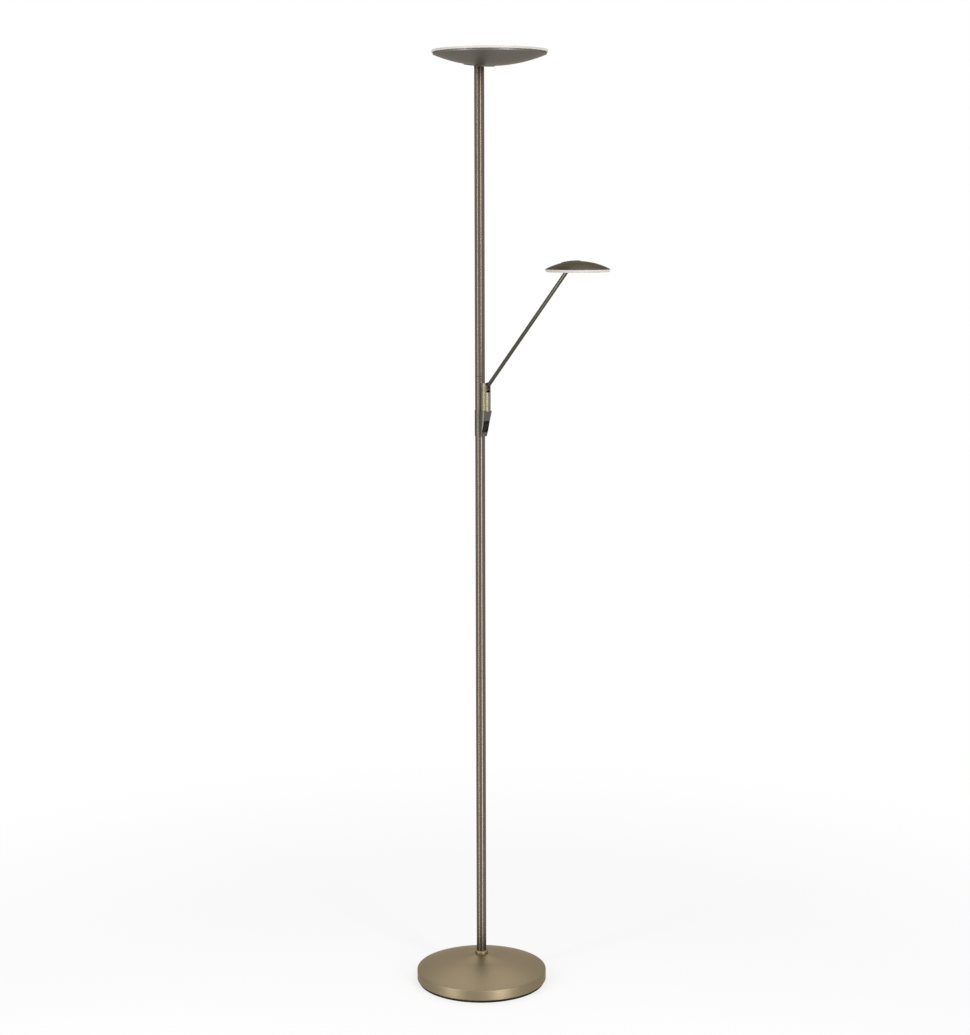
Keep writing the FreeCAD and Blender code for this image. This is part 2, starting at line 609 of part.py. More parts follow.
# Cable inlet: a rubber grommet in the base wall, opposite the arm
grommet = body("cable_grommet", (-base_radius, NONE, inlet_height), Size(-90, "(0 - 90)"))
flange_out = grommet_flange_thickness
wall_in = -(cover_wall + grommet_slack)
flange_in = wall_in - grommet_flange_thickness
turned(grommet, [(inlet_bore, flange_out), (inlet_bore, flange_in - grommet_nose),
                 (grommet_neck, flange_in - grommet_nose), (grommet_neck, flange_in),
                 (grommet_flange, flange_in), (grommet_flange, wall_in),
                 (grommet_neck, wall_in), (grommet_neck, sleeve_gap),
                 (grommet_flange, sleeve_gap), (grommet_flange, flange_out)])
nodes.append(grommet)

# Bowl: pressed dish on the pole top, its axis in front of the pole
dish_depth = bowl_depth - bowl_lip_height
bowl_sphere = (bowl_radius * bowl_radius + dish_depth * dish_depth) / (dish_depth * 2)
bowl_inner_sphere = bowl_sphere - bowl_wall
ball_place = (bowl_offset, NONE, bowl_bottom + bowl_sphere)
rim_inner = bowl_radius - bowl_wall
dish_inner_top = bowl_sphere - root(bowl_inner_sphere * bowl_inner_sphere - rim_inner * rim_inner)
bowl_place = (bowl_offset, NONE, bowl_bottom)
bowl = body("bowl_shell", bowl_place)
turned(bowl, [(NONE, NONE), (bowl_radius, dish_depth), (bowl_radius, bowl_depth), (rim_inner, bowl_depth),
              (rim_inner, dish_inner_top), (NONE, bowl_wall)],
       {0: (bowl_sphere, 1), 4: (bowl_inner_sphere, -1)})
pocket(bowl, circle(sketch_on(bowl, "XY_Plane"), nipple_hole, -bowl_offset), bowl_depth, up=True)
nodes.append(bowl)

# Dished plate under the bowl with a short neck of the pole's size
flange_tilt = arc_sine(bowl_offset / bowl_sphere)
plate_top_ball = bowl_sphere + sleeve_gap
plate_low_ball = plate_top_ball + flange_thickness
dish = body("flange_dish", ball_place, flange_tilt)
turned(dish, [(NONE, -plate_low_ball),
              (flange_radius, -root(plate_low_ball * plate_low_ball - flange_radius * flange_radius)),
              (flange_radius, -root(plate_top_ball * plate_top_ball - flange_radius * flange_radius)),
              (NONE, -plate_top_ball)], {0: (plate_low_ball, 1), 2: (plate_top_ball, -1)})
neck_blank = primitive("Cylinder", "flange_neck_blank", (NONE, NONE, pole_top),
                       Radius=pole_radius, Height=bowl_bottom + bowl_depth - pole_top)
ball = primitive("Sphere", "flange_ball", ball_place, Radius=plate_top_ball)
neck = joined("flange_neck", "Cut", neck_blank, ball)
flange_whole = doc.addObject("Part::MultiFuse", "flange_whole")
flange_whole.Shapes = [dish, neck]
bore = primitive("Cylinder", "flange_bore", (NONE, NONE, pole_top - overrun), Radius=nipple_hole,
                 Height=bowl_bottom + bowl_depth - pole_top + overrun)
nodes.append(joined("bowl_flange", "Cut", flange_whole, bore))

# Wedge washer, nut and nipple inside the bowl
wedge_top = bowl_bottom + wedge_height
wedge_low = bowl_bottom - overrun
wedge_blank = primitive("Cylinder", "wedge_blank", (NONE, NONE, wedge_low), Radius=wedge_radius,
                        Height=wedge_top - wedge_low)
inner_ball = primitive("Sphere", "wedge_ball", ball_place, Radius=bowl_inner_sphere - sleeve_gap)
wedge_seated = common("wedge_seated", wedge_blank, inner_ball)
wedge_bore = primitive("Cylinder", "wedge_bore", (NONE, NONE, wedge_low), Radius=nipple_radius + sleeve_gap,
                       Height=wedge_top - wedge_low + overrun)
nodes.append(joined("wedge_washer", "Cut", wedge_seated, wedge_bore))
nodes.append(nut("bowl_nut", (NONE, NONE, wedge_top)))
top_nipple_top = wedge_top + nut_height + nipple_end
nodes.append(tube("bowl_nipple", nipple_radius, nipple_bore, pole_top - plug_length, top_nipple_top))

# Mains cable from the base through the pole to the bowl
pole_cable = body("pole_cable", (NONE, NONE, nut_low))
pad(pole_cable, circle(sketch_on(pole_cable, "XY_Plane"), cable_radius), top_nipple_top - nut_low)
nodes.append(pole_cable)

# LED board, spacers, screws, LED packages and driver in the bowl
board_low = bowl_bottom + led_board_height
board_top = board_low + led_board_thickness
board = body("bowl_led_board", (bowl_offset, NONE, board_low))
board_sketch = circle(sketch_on(board, "XY_Plane"), led_board_radius)
pad(board, circle(board_sketch, cable_radius, -bowl_offset), led_board_thickness)
spacers, screws = [], []
spacer_ball = primitive("Sphere", "spacer_ball", ball_place, Radius=bowl_inner_sphere - sleeve_gap)
for number in range(3):
    angle = Size(60 + 120 * number, "(60 + 120 * %d)" % number)
    spot_x = bowl_offset + spacer_ring * cosine(angle)
    spot_y = spacer_ring * sine(angle)
    post = primitive("Cylinder", "post_%d" % number, (spot_x, spot_y, bowl_bottom), Radius=spacer_radius,
                     Height=led_board_height)
    seated = common("seated_post_%d" % number, post, spacer_ball)
    drill = primitive("Cylinder", "post_drill_%d" % number, (spot_x, spot_y, bowl_bottom),
                      Radius=screw_radius + sleeve_gap, Height=led_board_height + overrun)
    spacers.append(joined("spacer_%d" % number, "Cut", seated, drill))
    cut_place = (spot_x - bowl_offset, spot_y)
    pocket(board, circle(sketch_on(board, "XY_Plane"), screw_radius + sleeve_gap, *cut_place),
           led_board_thickness + overrun, up=True)
    screw = body("board_screw_%d" % number, (spot_x, spot_y, board_top))
    turned(screw, [(NONE, -screw_length), (screw_radius, -screw_length), (screw_radius, NONE),
                   (screw_head_radius, NONE), (screw_head_radius, screw_head_height / 2),
                   (screw_head_radius - screw_head_height / 2, screw_head_height), (NONE, screw_head_height)],
           {4: (screw_head_height / 2, 1)})
    screws.append(screw)
nodes.append(board)
nodes.append(group("board_spacers", spacers))
nodes.append(group("board_screws", screws))


def chips(label, centre, low, rings):
    """LED packages on circles about a centre, each turned to face the middle."""
    packages = []
    for radius, count, blocked in rings:
        for number in range(count):
            degrees = 360.0 * (number + 0.5) / count
            if abs(degrees - 180) < blocked:
                continue
            angle = Size(degrees, repr(degrees))
            inner_end = radius - chip_length / 2
            place = (centre + inner_end * cosine(angle) + chip_width / 2 * sine(angle),
                     inner_end * sine(angle) - chip_width / 2 * cosine(angle), low)
            packages.append(primitive("Box", label + "_%d" % len(packages), place, angle,
                                      FreeCAD.Vector(0, 0, 1), Length=chip_length, Width=chip_width,
                                      Height=chip_height))
    return group(label, packages)


nodes.append(chips("bowl_leds", bowl_offset, board_top, [(outer_chip_ring, 30, 0), (inner_chip_ring, 20, 0)]))
driver = body("led_driver", (bowl_offset + driver_place, NONE, board_low - driver_height))
driver_half = (driver_length / 2, driver_width / 2)
driver_corners = rectangle((-driver_half[0], -driver_half[1]), driver_half)
pad(driver, outline(sketch_on(driver, "XY_Plane"), driver_corners), driver_height)
nodes.append(driver)

# Diffuser on the bowl, with three legs that stand on the board
rim_up = bowl_depth + face_gap
lens_edge_top = bowl_depth + lens_edge
lens_top = lens_edge_top + lens_crown
lens_sphere = (lens_radius * lens_radius + lens_crown * lens_crown) / (lens_crown * 2)
lens_under_radius = lens_radius - lens_skirt
lens = body("bowl_diffuser", bowl_place)
turned(lens, [(NONE, lens_top - lens_wall), (lens_under_radius, lens_edge_top - lens_wall),
              (lens_under_radius, rim_up), (lens_radius, rim_up), (lens_radius, lens_edge_top),
              (NONE, lens_top)],
       {4: (lens_sphere, 1)})
leg_low = led_board_height + led_board_thickness + face_gap
for number in range(3):
    angle = Size(120 * number, "(120 * %d)" % number)
    leg = circle(sketch_on(lens, "XY_Plane", leg_low), lens_leg_radius,
                 lens_leg_ring * cosine(angle), lens_leg_ring * sine(angle))
    pad(lens, leg, lens_top - lens_wall / 2 - leg_low)
nodes.append(lens)

# Bracket housing: round sleeve on the pole and the boss of the stub, with a flat waist between them on each
# side and a slanted front face
sleeve_radius = pole_radius + sleeve_gap + sleeve_wall
boss_radius = stub_radius + boss_wall
waist_half = nose_radius - waist_inset


def sleeve_outline(sketch, front_place, front_radius):
    """Two unlike circles on the X axis joined by a web of even width, walked round from the back."""
    back = (root(sleeve_radius * sleeve_radius - waist_half * waist_half), waist_half)
    front = (front_place - root(front_radius * front_radius - waist_half * waist_half), waist_half)
    corners = [(back[0], -back[1]), (front[0], -front[1]), (front[0], front[1]), back]
    half_way = front_place + front_radius
    corners.insert(2, (half_way, NONE))
    corners.append((-sleeve_radius, NONE))
    return outline(sketch, corners, {1: (front_radius, 1), 2: (front_radius, 1),
                                     4: (sleeve_radius, 1), 5: (sleeve_radius, 1)})


housing = body("housing_body", (NONE, NONE, bracket_bottom))
low_outline = sleeve_outline(sketch_on(housing, "XY_Plane"), nose_place, nose_radius)
high_outline = sleeve_outline(sketch_on(housing, "XY_Plane", bracket_height), stub_offset, boss_radius)
housing_loft = housing.newObject("PartDesign::AdditiveLoft", "housing_loft")
housing_loft.Profile = low_outline
housing_loft.Sections = [high_outline]
housing_loft.Ruled = True
housing.Tip = housing_loft
face_high = stub_offset + stub_radius + face_lead
face_slope = (face_high - face_low) / bracket_height
far_front = stub_offset + boss_radius + overrun
front_cut = outline(sketch_on(housing, "XZ_Plane"),
                    [(face_low - face_slope * overrun, -overrun), (far_front, -overrun),
                     (far_front, bracket_height + overrun),
                     (face_high + face_slope * overrun, bracket_height + overrun)])
pocket(housing, front_cut, (boss_radius + overrun) * 2, middle=True)
pole_way = circle(sketch_on(housing, "XY_Plane"), pole_radius + sleeve_gap)
pocket(housing, pole_way, bracket_height + overrun, up=True)
bolt_hole = circle(sketch_on(housing, "XY_Plane", bracket_height), bolt_radius + sleeve_gap, stub_offset)
pocket(housing, bolt_hole, bolt_thread + face_gap)

wire_way = circle(sketch_on(housing, "XY_Plane", switch_rise), bolt_bore, stub_offset)
pocket(housing, wire_way, bracket_height - switch_rise, up=True)
switch_way = circle(sketch_on(housing, "YZ_Plane"), switch_wire_radius, NONE, switch_rise)
pocket(housing, switch_way, (pole_radius + face_low) / 2 + overrun, up=True)

# Switch pocket, cut square to the slanted face, and the hole of the clamp screw
face_lean = arc_tangent(face_slope)
face_turn = face_lean + 90
switch_place = (face_low + face_slope * switch_rise, NONE, switch_height)


def on_face(depth, along):
    """A place in the mirror plane, at a depth below the slanted face and a distance down along it."""
    return (switch_place[0] - depth * cosine(face_lean) - along * sine(face_lean), NONE,
            switch_place[2] + depth * sine(face_lean) - along * cosine(face_lean))


cavity = body("switch_cavity", switch_place, face_turn)
cavity_half = (switch_body_length / 2 + sleeve_gap, switch_body_width / 2 + sleeve_gap)
cavity_depth = switch_body_depth + face_gap
cavity_sketch = outline(sketch_on(cavity, "XY_Plane", -cavity_depth),
                        rectangle((-cavity_half[0], -cavity_half[1]), cavity_half))
pad(cavity, cavity_sketch, cavity_depth + overrun)
housing_open = joined("housing_open", "Cut", housing, cavity)
clamp_up = bracket_top - clamp_screw_drop
clamp_place = ((pole_radius + face_gap) * cosine(clamp_screw_angle),
               (pole_radius + face_gap) * sine(clamp_screw_angle), clamp_up)
out_axis = FreeCAD.Vector(-math.sin(math.radians(clamp_screw_angle.number)),
                          math.cos(math.radians(clamp_screw_angle.number)), 0)
quarter = Size(90, "90")
clamp_drill = primitive("Cylinder", "clamp_drill", (pole_radius / 2 * cosine(clamp_screw_angle),
                                                    pole_radius / 2 * sine(clamp_screw_angle), clamp_up),
                        quarter, out_axis, Radius=clamp_screw_radius + sleeve_gap,
                        Height=clamp_screw_length * 4)
nodes.append(joined("bracket_housing", "Cut", housing_open, clamp_drill))
clamp_blank = primitive("Cylinder", "clamp_blank", clamp_place, quarter, out_axis, Radius=clamp_screw_radius,
                        Height=clamp_screw_length)
socket_start = pole_radius + face_gap + clamp_screw_length - clamp_socket_depth
clamp_socket = primitive("Prism", "clamp_socket", (socket_start * cosine(clamp_screw_angle),
                                                   socket_start * sine(clamp_screw_angle), clamp_up),
                         quarter, out_axis, Circumradius=clamp_socket_width / hexagon_share,
                         Height=clamp_socket_depth + overrun)
nodes.append(joined("clamp_screw", "Cut", clamp_blank, clamp_socket))

# Switch: bezel and body in one, and the rocker on its trunnions
switch = body("switch_frame", switch_place, face_turn)
bezel_half = (bezel_length / 2, bezel_width / 2)
bezel_flat = (bezel_half[0] - bezel_round, bezel_half[1] - bezel_round)
bezel_corners = [(-bezel_flat[0], -bezel_half[1]), (bezel_flat[0], -bezel_half[1]),
                 (bezel_half[0], -bezel_flat[1]), (bezel_half[0], bezel_flat[1]),
                 (bezel_flat[0], bezel_half[1]), (-bezel_flat[0], bezel_half[1]),
                 (-bezel_half[0], bezel_flat[1]), (-bezel_half[0], -bezel_flat[1])]
bezel_sketch = outline(sketch_on(switch, "XY_Plane", face_gap), bezel_corners,
                       {edge: (bezel_round, 1) for edge in range(1, len(bezel_corners), 2)})
pad(switch, bezel_sketch, bezel_thickness)
body_half = (switch_body_length / 2, switch_body_width / 2)
body_sketch = outline(sketch_on(switch, "XY_Plane", -switch_body_depth),
                      rectangle((-body_half[0], -body_half[1]), body_half))
pad(switch, body_sketch, switch_body_depth + bezel_thickness / 2)
well_half = (rocker_length / 2 + rocker_gap, rocker_width / 2 + rocker_gap)
well_floor = rocker_pivot_depth + rocker_depth + rocker_gap * 2
well = outline(sketch_on(switch, "XY_Plane", bezel_thickness + face_gap),
               rectangle((-well_half[0], -well_half[1]), well_half))
pocket(switch, well, bezel_thickness + face_gap + well_floor)
trunnion = circle(sketch_on(switch, "XZ_Plane"), rocker_pin_radius + running_gap, NONE, -rocker_pivot_depth)
pocket(switch, trunnion, switch_body_width + overrun, middle=True)
nodes.append(switch)

pivot_place = on_face(rocker_pivot_depth, NONE)
rocker = body("switch_rocker", pivot_place, face_turn + rocker_tilt)
rocker_half = rocker_length / 2
rocker_foot = rocker_half - rocker_depth / 2
rocker_side = outline(sketch_on(rocker, "XZ_Plane"),
                      [(-rocker_foot, -(rocker_depth / 2)), (NONE, -rocker_depth),
                       (rocker_foot, -(rocker_depth / 2)), (rocker_half, NONE),
                       (rocker_half, rocker_rise), (NONE, rocker_rise - rocker_dish),
                       (-rocker_half, rocker_rise), (-rocker_half, NONE)])
pad(rocker, rocker_side, rocker_width, middle=True)
pin_sketch = circle(sketch_on(rocker, "XZ_Plane"), rocker_pin_radius)
pad(rocker, pin_sketch, rocker_width + (rocker_gap + rocker_pin_reach) * 2, middle=True)
nodes.append(rocker)

# Fixed stub on the bracket, seam washer and hollow swivel bolt
stub = body("stub_tube", (stub_offset, NONE, bracket_top))
turned(stub, [(bolt_radius + sleeve_gap, NONE), (stub_radius, NONE), (stub_radius, stub_height - edge_break),
              (stub_radius - edge_break, stub_height), (bolt_radius + sleeve_gap, stub_height)])
nodes.append(stub)
nodes.append(ring("seam_washer", stub_radius - seam_inset, bolt_radius + sleeve_gap, stub_top, seam,
                  stub_offset))

bolt_seat = pivot_height - bolt_seat_drop
slot_low = pivot_height - slot_floor
swivel = body("swivel_head", (stub_offset, NONE, NONE))
swivel_bore = bolt_radius + running_gap
recess = bolt_head_radius + rocker_gap / 2
ear_centre = pivot_height + ear_rise
swivel_top = ear_centre + stub_radius
turned(swivel, [(swivel_bore, swivel_low), (stub_radius - edge_break, swivel_low),
                (stub_radius, swivel_low + edge_break), (stub_radius, swivel_top), (recess, swivel_top),
                (recess, bolt_seat), (swivel_bore, bolt_seat)])
beyond = stub_radius + overrun
front_round = outline(sketch_on(swivel, "XZ_Plane"),
                      [(NONE, swivel_top + overrun), (NONE, swivel_top), (stub_radius, ear_centre),
                       (beyond, ear_centre), (beyond, swivel_top + overrun)], {1: (stub_radius, -1)})
pocket(swivel, front_round, beyond * 2, middle=True)
back_round = outline(sketch_on(swivel, "XZ_Plane"),
                     [(NONE, swivel_top), (NONE, swivel_top + overrun), (-beyond, swivel_top + overrun),
                      (-beyond, ear_centre), (-stub_radius, ear_centre)], {4: (stub_radius, -1)})
pocket(swivel, back_round, beyond * 2, middle=True)
slot_cut = outline(sketch_on(swivel, "XZ_Plane"),
                   rectangle((-slot_back, slot_low), (beyond, swivel_top + overrun)))
pocket(swivel, slot_cut, slot_width, middle=True)
pin_hole = circle(sketch_on(swivel, "XZ_Plane"), hinge_pin_radius + sleeve_gap, NONE, pivot_height)
pocket(swivel, pin_hole, beyond * 2, middle=True)
head_outer = stub_radius - hinge_head_sink
head_inner = head_outer - hinge_head_height
for side in (1, -1):
    sink = circle(sketch_on(swivel, "XZ_Plane", head_inner * side), hinge_head_radius + sleeve_gap,
                  NONE, pivot_height)
    pocket(swivel, sink, hinge_head_height + overrun, up=side > 0)
nodes.append(swivel)

# Hollow swivel bolt with its washer, fixed in the bracket
washer_up = bolt_seat + face_gap
nodes.append(ring("swivel_washer", bolt_head_radius, bolt_radius + sleeve_gap, washer_up,
                  spring_washer_thickness, stub_offset))
head_low = washer_up + spring_washer_thickness
bolt_low = bracket_top - bolt_thread
bolt = body("swivel_bolt", (stub_offset, NONE, NONE))
bolt_top = head_low + bolt_head_height
turned(bolt, [(bolt_bore, bolt_low), (bolt_radius, bolt_low), (bolt_radius, head_low),
              (bolt_head_radius, head_low), (bolt_head_radius, bolt_top), (bolt_bore, bolt_top)])
nodes.append(bolt)

# Hinge screw of the arm and its round nut, both sunk in the ears
pivot_place = (stub_offset, NONE, pivot_height)
across = FreeCAD.Vector(1, 0, 0)
hinge_screw = doc.addObject("PartDesign::Body", "tilt_screw")
set_place(hinge_screw, pivot_place, quarter, across)
turned(hinge_screw, [(NONE, -head_outer + edge_break), (hinge_pin_radius, -head_outer + edge_break),
                     (hinge_pin_radius, head_inner), (hinge_head_radius, head_inner),
                     (hinge_head_radius, head_outer), (NONE, head_outer)])
slot_half = (hinge_head_radius + overrun, driver_slot_width / 2)
screw_slot = outline(sketch_on(hinge_screw, "XY_Plane", head_outer),
                     rectangle((-slot_half[0], -slot_half[1]), slot_half))
pocket(hinge_screw, screw_slot, driver_slot_depth)
nodes.append(hinge_screw)
hinge_nut = doc.addObject("PartDesign::Body", "tilt_nut")
set_place(hinge_nut, pivot_place, -quarter, across)
nut_ring = circle(circle(sketch_on(hinge_nut, "XY_Plane", head_inner), hinge_head_radius),
                  hinge_pin_radius + sleeve_gap)
pad(hinge_nut, nut_ring, hinge_head_height)
nut_slot = outline(sketch_on(hinge_nut, "XY_Plane", head_outer),
                   rectangle((-slot_half[0], -slot_half[1]), slot_half))
pocket(hinge_nut, nut_slot, driver_slot_depth)
nodes.append(hinge_nut)

# Arm: a straight tube with an eye fitting in each end; local Z runs along the arm, local X is its underside
arm_turn = 90 - arm_elevation
tube_end = arm_length - knuckle_neck
tube_bore = arm_radius - arm_wall
spigot_radius = tube_bore - sleeve_gap
eye_width = slot_width - (friction_washer_thickness + face_gap) * 2
wire_bore = arm_wire_radius + arm_wire_gap
arm = body("arm_tube", pivot_place, arm_turn)
pad(arm, circle(circle(sketch_on(arm, "XY_Plane", tube_start), arm_radius), tube_bore), tube_end - tube_start)
nodes.append(arm)

lower_end = body("arm_lower_end", pivot_place, arm_turn)
pad(lower_end, circle(sketch_on(lower_end, "XZ_Plane"), arm_eye_radius), eye_width, middle=True)
pad(lower_end, circle(sketch_on(lower_end, "XY_Plane"), arm_neck_radius), tube_start)
pad(lower_end, circle(sketch_on(lower_end, "XY_Plane", tube_start), spigot_radius), spigot_length)
pocket(lower_end, circle(sketch_on(lower_end, "XZ_Plane"), hinge_pin_radius + running_gap), beyond * 2,
       middle=True)
pocket(lower_end, circle(sketch_on(lower_end, "XY_Plane", tube_start + spigot_length), wire_bore),
       tube_start + spigot_length - wire_exit_place + wire_exit_radius / 2)
pocket(lower_end, circle(sketch_on(lower_end, "YZ_Plane"), wire_exit_radius, NONE, wire_exit_place),
       arm_eye_radius + overrun, up=True)
nodes.append(lower_end)

upper_end = body("arm_upper_end", pivot_place, arm_turn)
upper_spigot = circle(sketch_on(upper_end, "XY_Plane", tube_end - spigot_length), spigot_radius)
pad(upper_end, upper_spigot, spigot_length)
pad(upper_end, circle(sketch_on(upper_end, "XY_Plane", tube_end), knuckle_neck_radius), knuckle_neck)
pad(upper_end, circle(sketch_on(upper_end, "XZ_Plane"), knuckle_radius, NONE, arm_length), knuckle_width,
    middle=True)
pocket(upper_end, circle(sketch_on(upper_end, "XZ_Plane"), head_pin_radius + running_gap, NONE, arm_length),
       beyond * 2, middle=True)
upper_exit = tube_end + knuckle_neck * upper_exit_share
pocket(upper_end, circle(sketch_on(upper_end, "XY_Plane", tube_end - spigot_length), wire_bore),
       spigot_length + knuckle_neck * upper_exit_share + wire_exit_radius / 2, up=True)
upper_way = circle(sketch_on(upper_end, "YZ_Plane"), wire_exit_radius, NONE, upper_exit)
pocket(upper_end, upper_way, arm_radius + overrun)
nodes.append(upper_end)

wires = body("arm_wires", pivot_place, arm_turn)
wire_round = circle(sketch_on(wires, "XY_Plane", wire_exit_place), arm_wire_radius)
pad(wires, wire_round, upper_exit - wire_exit_place)
nodes.append(wires)

friction = []
for side in (1, -1):
    washer = doc.addObject("PartDesign::Body", "friction_%d" % (1 if side > 0 else 2))
    set_place(washer, pivot_place, quarter * side, across)
    washer_ring = circle(circle(sketch_on(washer, "XY_Plane", eye_width / 2), friction_washer_radius),
                         hinge_pin_radius + running_gap)
    pad(washer, washer_ring, friction_washer_thickness)
    friction.append(washer)
nodes.append(group("friction_washers", friction))

# Reading head: pressed dome, fork and hinge pin under it, cap above the fork
hinge_x = stub_offset + arm_length * cosine(arm_elevation)
hinge_z = pivot_height + arm_length * sine(arm_elevation)
head_x = hinge_x + head_hinge_back
head_z = hinge_z - head_hinge_rise
head_place = (head_x, NONE, head_z)
dome = (head_radius * head_radius + head_depth * head_depth) / (head_depth * 2)
dome_inner = dome - head_wall
dome_sink = dome - head_depth
dome_place = (head_x, NONE, head_z - dome_sink)
head_rim_inner = root(dome_inner * dome_inner - dome_sink * dome_sink)
shell = body("head_shell", head_place)
turned(shell, [(head_radius, NONE), (NONE, head_depth), (NONE, head_depth - head_wall),
               (head_rim_inner, NONE)],
       {0: (dome, 1), 2: (dome_inner, -1)})
cap_drill_x = cap_screw_front - head_hinge_back
for side in (1, -1):
    drilled = circle(sketch_on(shell, "XY_Plane"), cap_screw_radius + sleeve_gap, cap_drill_x,
                     cap_screw_side * side)
    pocket(shell, drilled, head_depth + overrun, up=True)
nodes.append(shell)

cap_tilt = arc_sine(head_hinge_back / dome)
cap_low = dome + sleeve_gap
cap_high = cap_low + cap_thickness
cap_flat = cap_radius - cap_round
cap_edge = root(cap_high * cap_high - cap_flat * cap_flat)
cap_blank = body("cap_blank", dome_place, -cap_tilt)
turned(cap_blank, [(NONE, cap_low), (cap_radius, root(cap_low * cap_low - cap_radius * cap_radius)),
                   (cap_radius, cap_edge - cap_round), (cap_flat, cap_edge), (NONE, cap_high)],
       {0: (cap_low, -1), 2: (cap_round, 1), 3: (cap_high, 1)})
cap_screw_reach = root(cap_drill_x * cap_drill_x + cap_screw_side * cap_screw_side)
cap_screw_top = root(dome * dome - cap_screw_reach * cap_screw_reach) - dome_sink + cap_screw_bite
cap_drills = []
for side in (1, -1):
    drill_place = (head_x + cap_drill_x, cap_screw_side * side, head_z + head_hinge_rise)
    cap_drills.append(primitive("Cylinder", "cap_drill_%d" % len(cap_drills), drill_place,
                                Radius=cap_screw_radius + sleeve_gap,
                                Height=cap_screw_top - head_hinge_rise + sleeve_gap))
cap_drill_pair = group("cap_drill_pair", cap_drills)
nodes.append(joined("head_cap", "Cut", cap_blank, cap_drill_pair))

fork_inner = knuckle_width / 2 + face_gap
fork_outer = fork_inner + fork_ear
fork_top = head_depth - head_hinge_rise
fork = body("fork_blank", (hinge_x, NONE, hinge_z))
ear_sketch = outline(sketch_on(fork, "XZ_Plane"),
                     [(-fork_eye_radius, NONE), (NONE, -fork_eye_radius), (fork_eye_radius, NONE),
                      (fork_eye_radius, fork_top), (-fork_eye_radius, fork_top)],
                     {0: (fork_eye_radius, 1), 1: (fork_eye_radius, 1)})
pad(fork, ear_sketch, fork_outer * 2, middle=True)
plate_corners = rectangle((-fork_eye_radius, fork_seat), (fork_front, fork_top))
plate_sketch = outline(sketch_on(fork, "XZ_Plane"), plate_corners)
pad(fork, plate_sketch, fork_half_width * 2, middle=True)
gap_sketch = outline(sketch_on(fork, "XZ_Plane"),
                     rectangle((-(fork_eye_radius + overrun), -(fork_eye_radius + overrun)),
                               (fork_eye_radius + overrun, fork_seat)))
pocket(fork, gap_sketch, fork_inner * 2, middle=True)
pocket(fork, circle(sketch_on(fork, "XZ_Plane"), head_pin_radius + sleeve_gap), beyond * 2, middle=True)
for side in (1, -1):
    screw_hole = circle(sketch_on(fork, "XY_Plane"), cap_screw_radius + sleeve_gap, cap_screw_front,
                        cap_screw_side * side)
    pocket(fork, screw_hole, fork_top + overrun, up=True)
fork_ball = primitive("Sphere", "fork_ball", dome_place, Radius=dome_inner - sleeve_gap)
nodes.append(common("head_fork", fork, fork_ball))
pin = body("head_pin", (hinge_x, NONE, hinge_z))
pad(pin, circle(sketch_on(pin, "XZ_Plane"), head_pin_radius), fork_outer * 2, middle=True)
nodes.append(pin)

cap_screws = []
screw_seat = head_hinge_rise + fork_seat
for side in (1, -1):
    cap_screw = body("cap_screw_%d" % len(cap_screws), (head_x + cap_drill_x, cap_screw_side * side, head_z))
    turned(cap_screw, [(NONE, screw_seat - cap_screw_head_height),
                       (cap_screw_head, screw_seat - cap_screw_head_height),
                       (cap_screw_head, screw_seat), (cap_screw_radius, screw_seat),
                       (cap_screw_radius, cap_screw_top), (NONE, cap_screw_top)])
    cap_screws.append(cap_screw)
nodes.append(group("cap_screws", cap_screws))

# LED board, posts, screws and packages in the head
head_board = body("head_led_board", (head_x, NONE, head_z + head_board_rise))
pad(head_board, circle(sketch_on(head_board, "XY_Plane"), head_board_radius), led_board_thickness)
slot_end = head_slot_front - head_hinge_back
board_slot = outline(sketch_on(head_board, "XY_Plane"),
                     rectangle((-(head_board_radius + overrun), -(head_board_slot / 2)),
                               (slot_end, head_board_slot / 2)))
pocket(head_board, board_slot, led_board_thickness + overrun, up=True)
head_posts, head_screws = [], []
post_ball = primitive("Sphere", "post_ball", dome_place, Radius=dome_inner - sleeve_gap)
post_low = head_z + head_board_rise + led_board_thickness
for number in range(4):
    angle = Size(45 + 90 * number, "(45 + 90 * %d)" % number)
    spot = (head_post_ring * cosine(angle), head_post_ring * sine(angle))
    post = primitive("Cylinder", "head_post_blank_%d" % number, (head_x + spot[0], spot[1], post_low),
                     Radius=head_post_radius, Height=head_depth)
    seated = common("head_post_seated_%d" % number, post, post_ball)
    drill = primitive("Cylinder", "head_post_drill_%d" % number,
                      (head_x + spot[0], spot[1], post_low - overrun), Radius=screw_radius + sleeve_gap,
                      Height=overrun + head_screw_bite + sleeve_gap)
    head_posts.append(joined("head_post_%d" % number, "Cut", seated, drill))
    hole = circle(sketch_on(head_board, "XY_Plane"), screw_radius + sleeve_gap, spot[0], spot[1])
    pocket(head_board, hole, led_board_thickness + overrun, up=True)
    screw = body("head_screw_%d" % number, (head_x + spot[0], spot[1], head_z + head_board_rise))
    turned(screw, [(NONE, -screw_head_height),
                   (screw_head_radius - screw_head_height / 2, -screw_head_height),
                   (screw_head_radius, -(screw_head_height / 2)), (screw_head_radius, NONE),
                   (screw_radius, NONE), (screw_radius, led_board_thickness + head_screw_bite),
                   (NONE, led_board_thickness + head_screw_bite)], {1: (screw_head_height / 2, 1)})
    head_screws.append(screw)
nodes.append(head_board)
nodes.append(group("head_posts", head_posts))
nodes.append(group("head_board_screws", head_screws))
nodes.append(chips("head_leds", head_x, head_z + head_board_rise - chip_height,
                   [(head_outer_ring, 24, 14), (head_inner_ring, 14, 20)]))

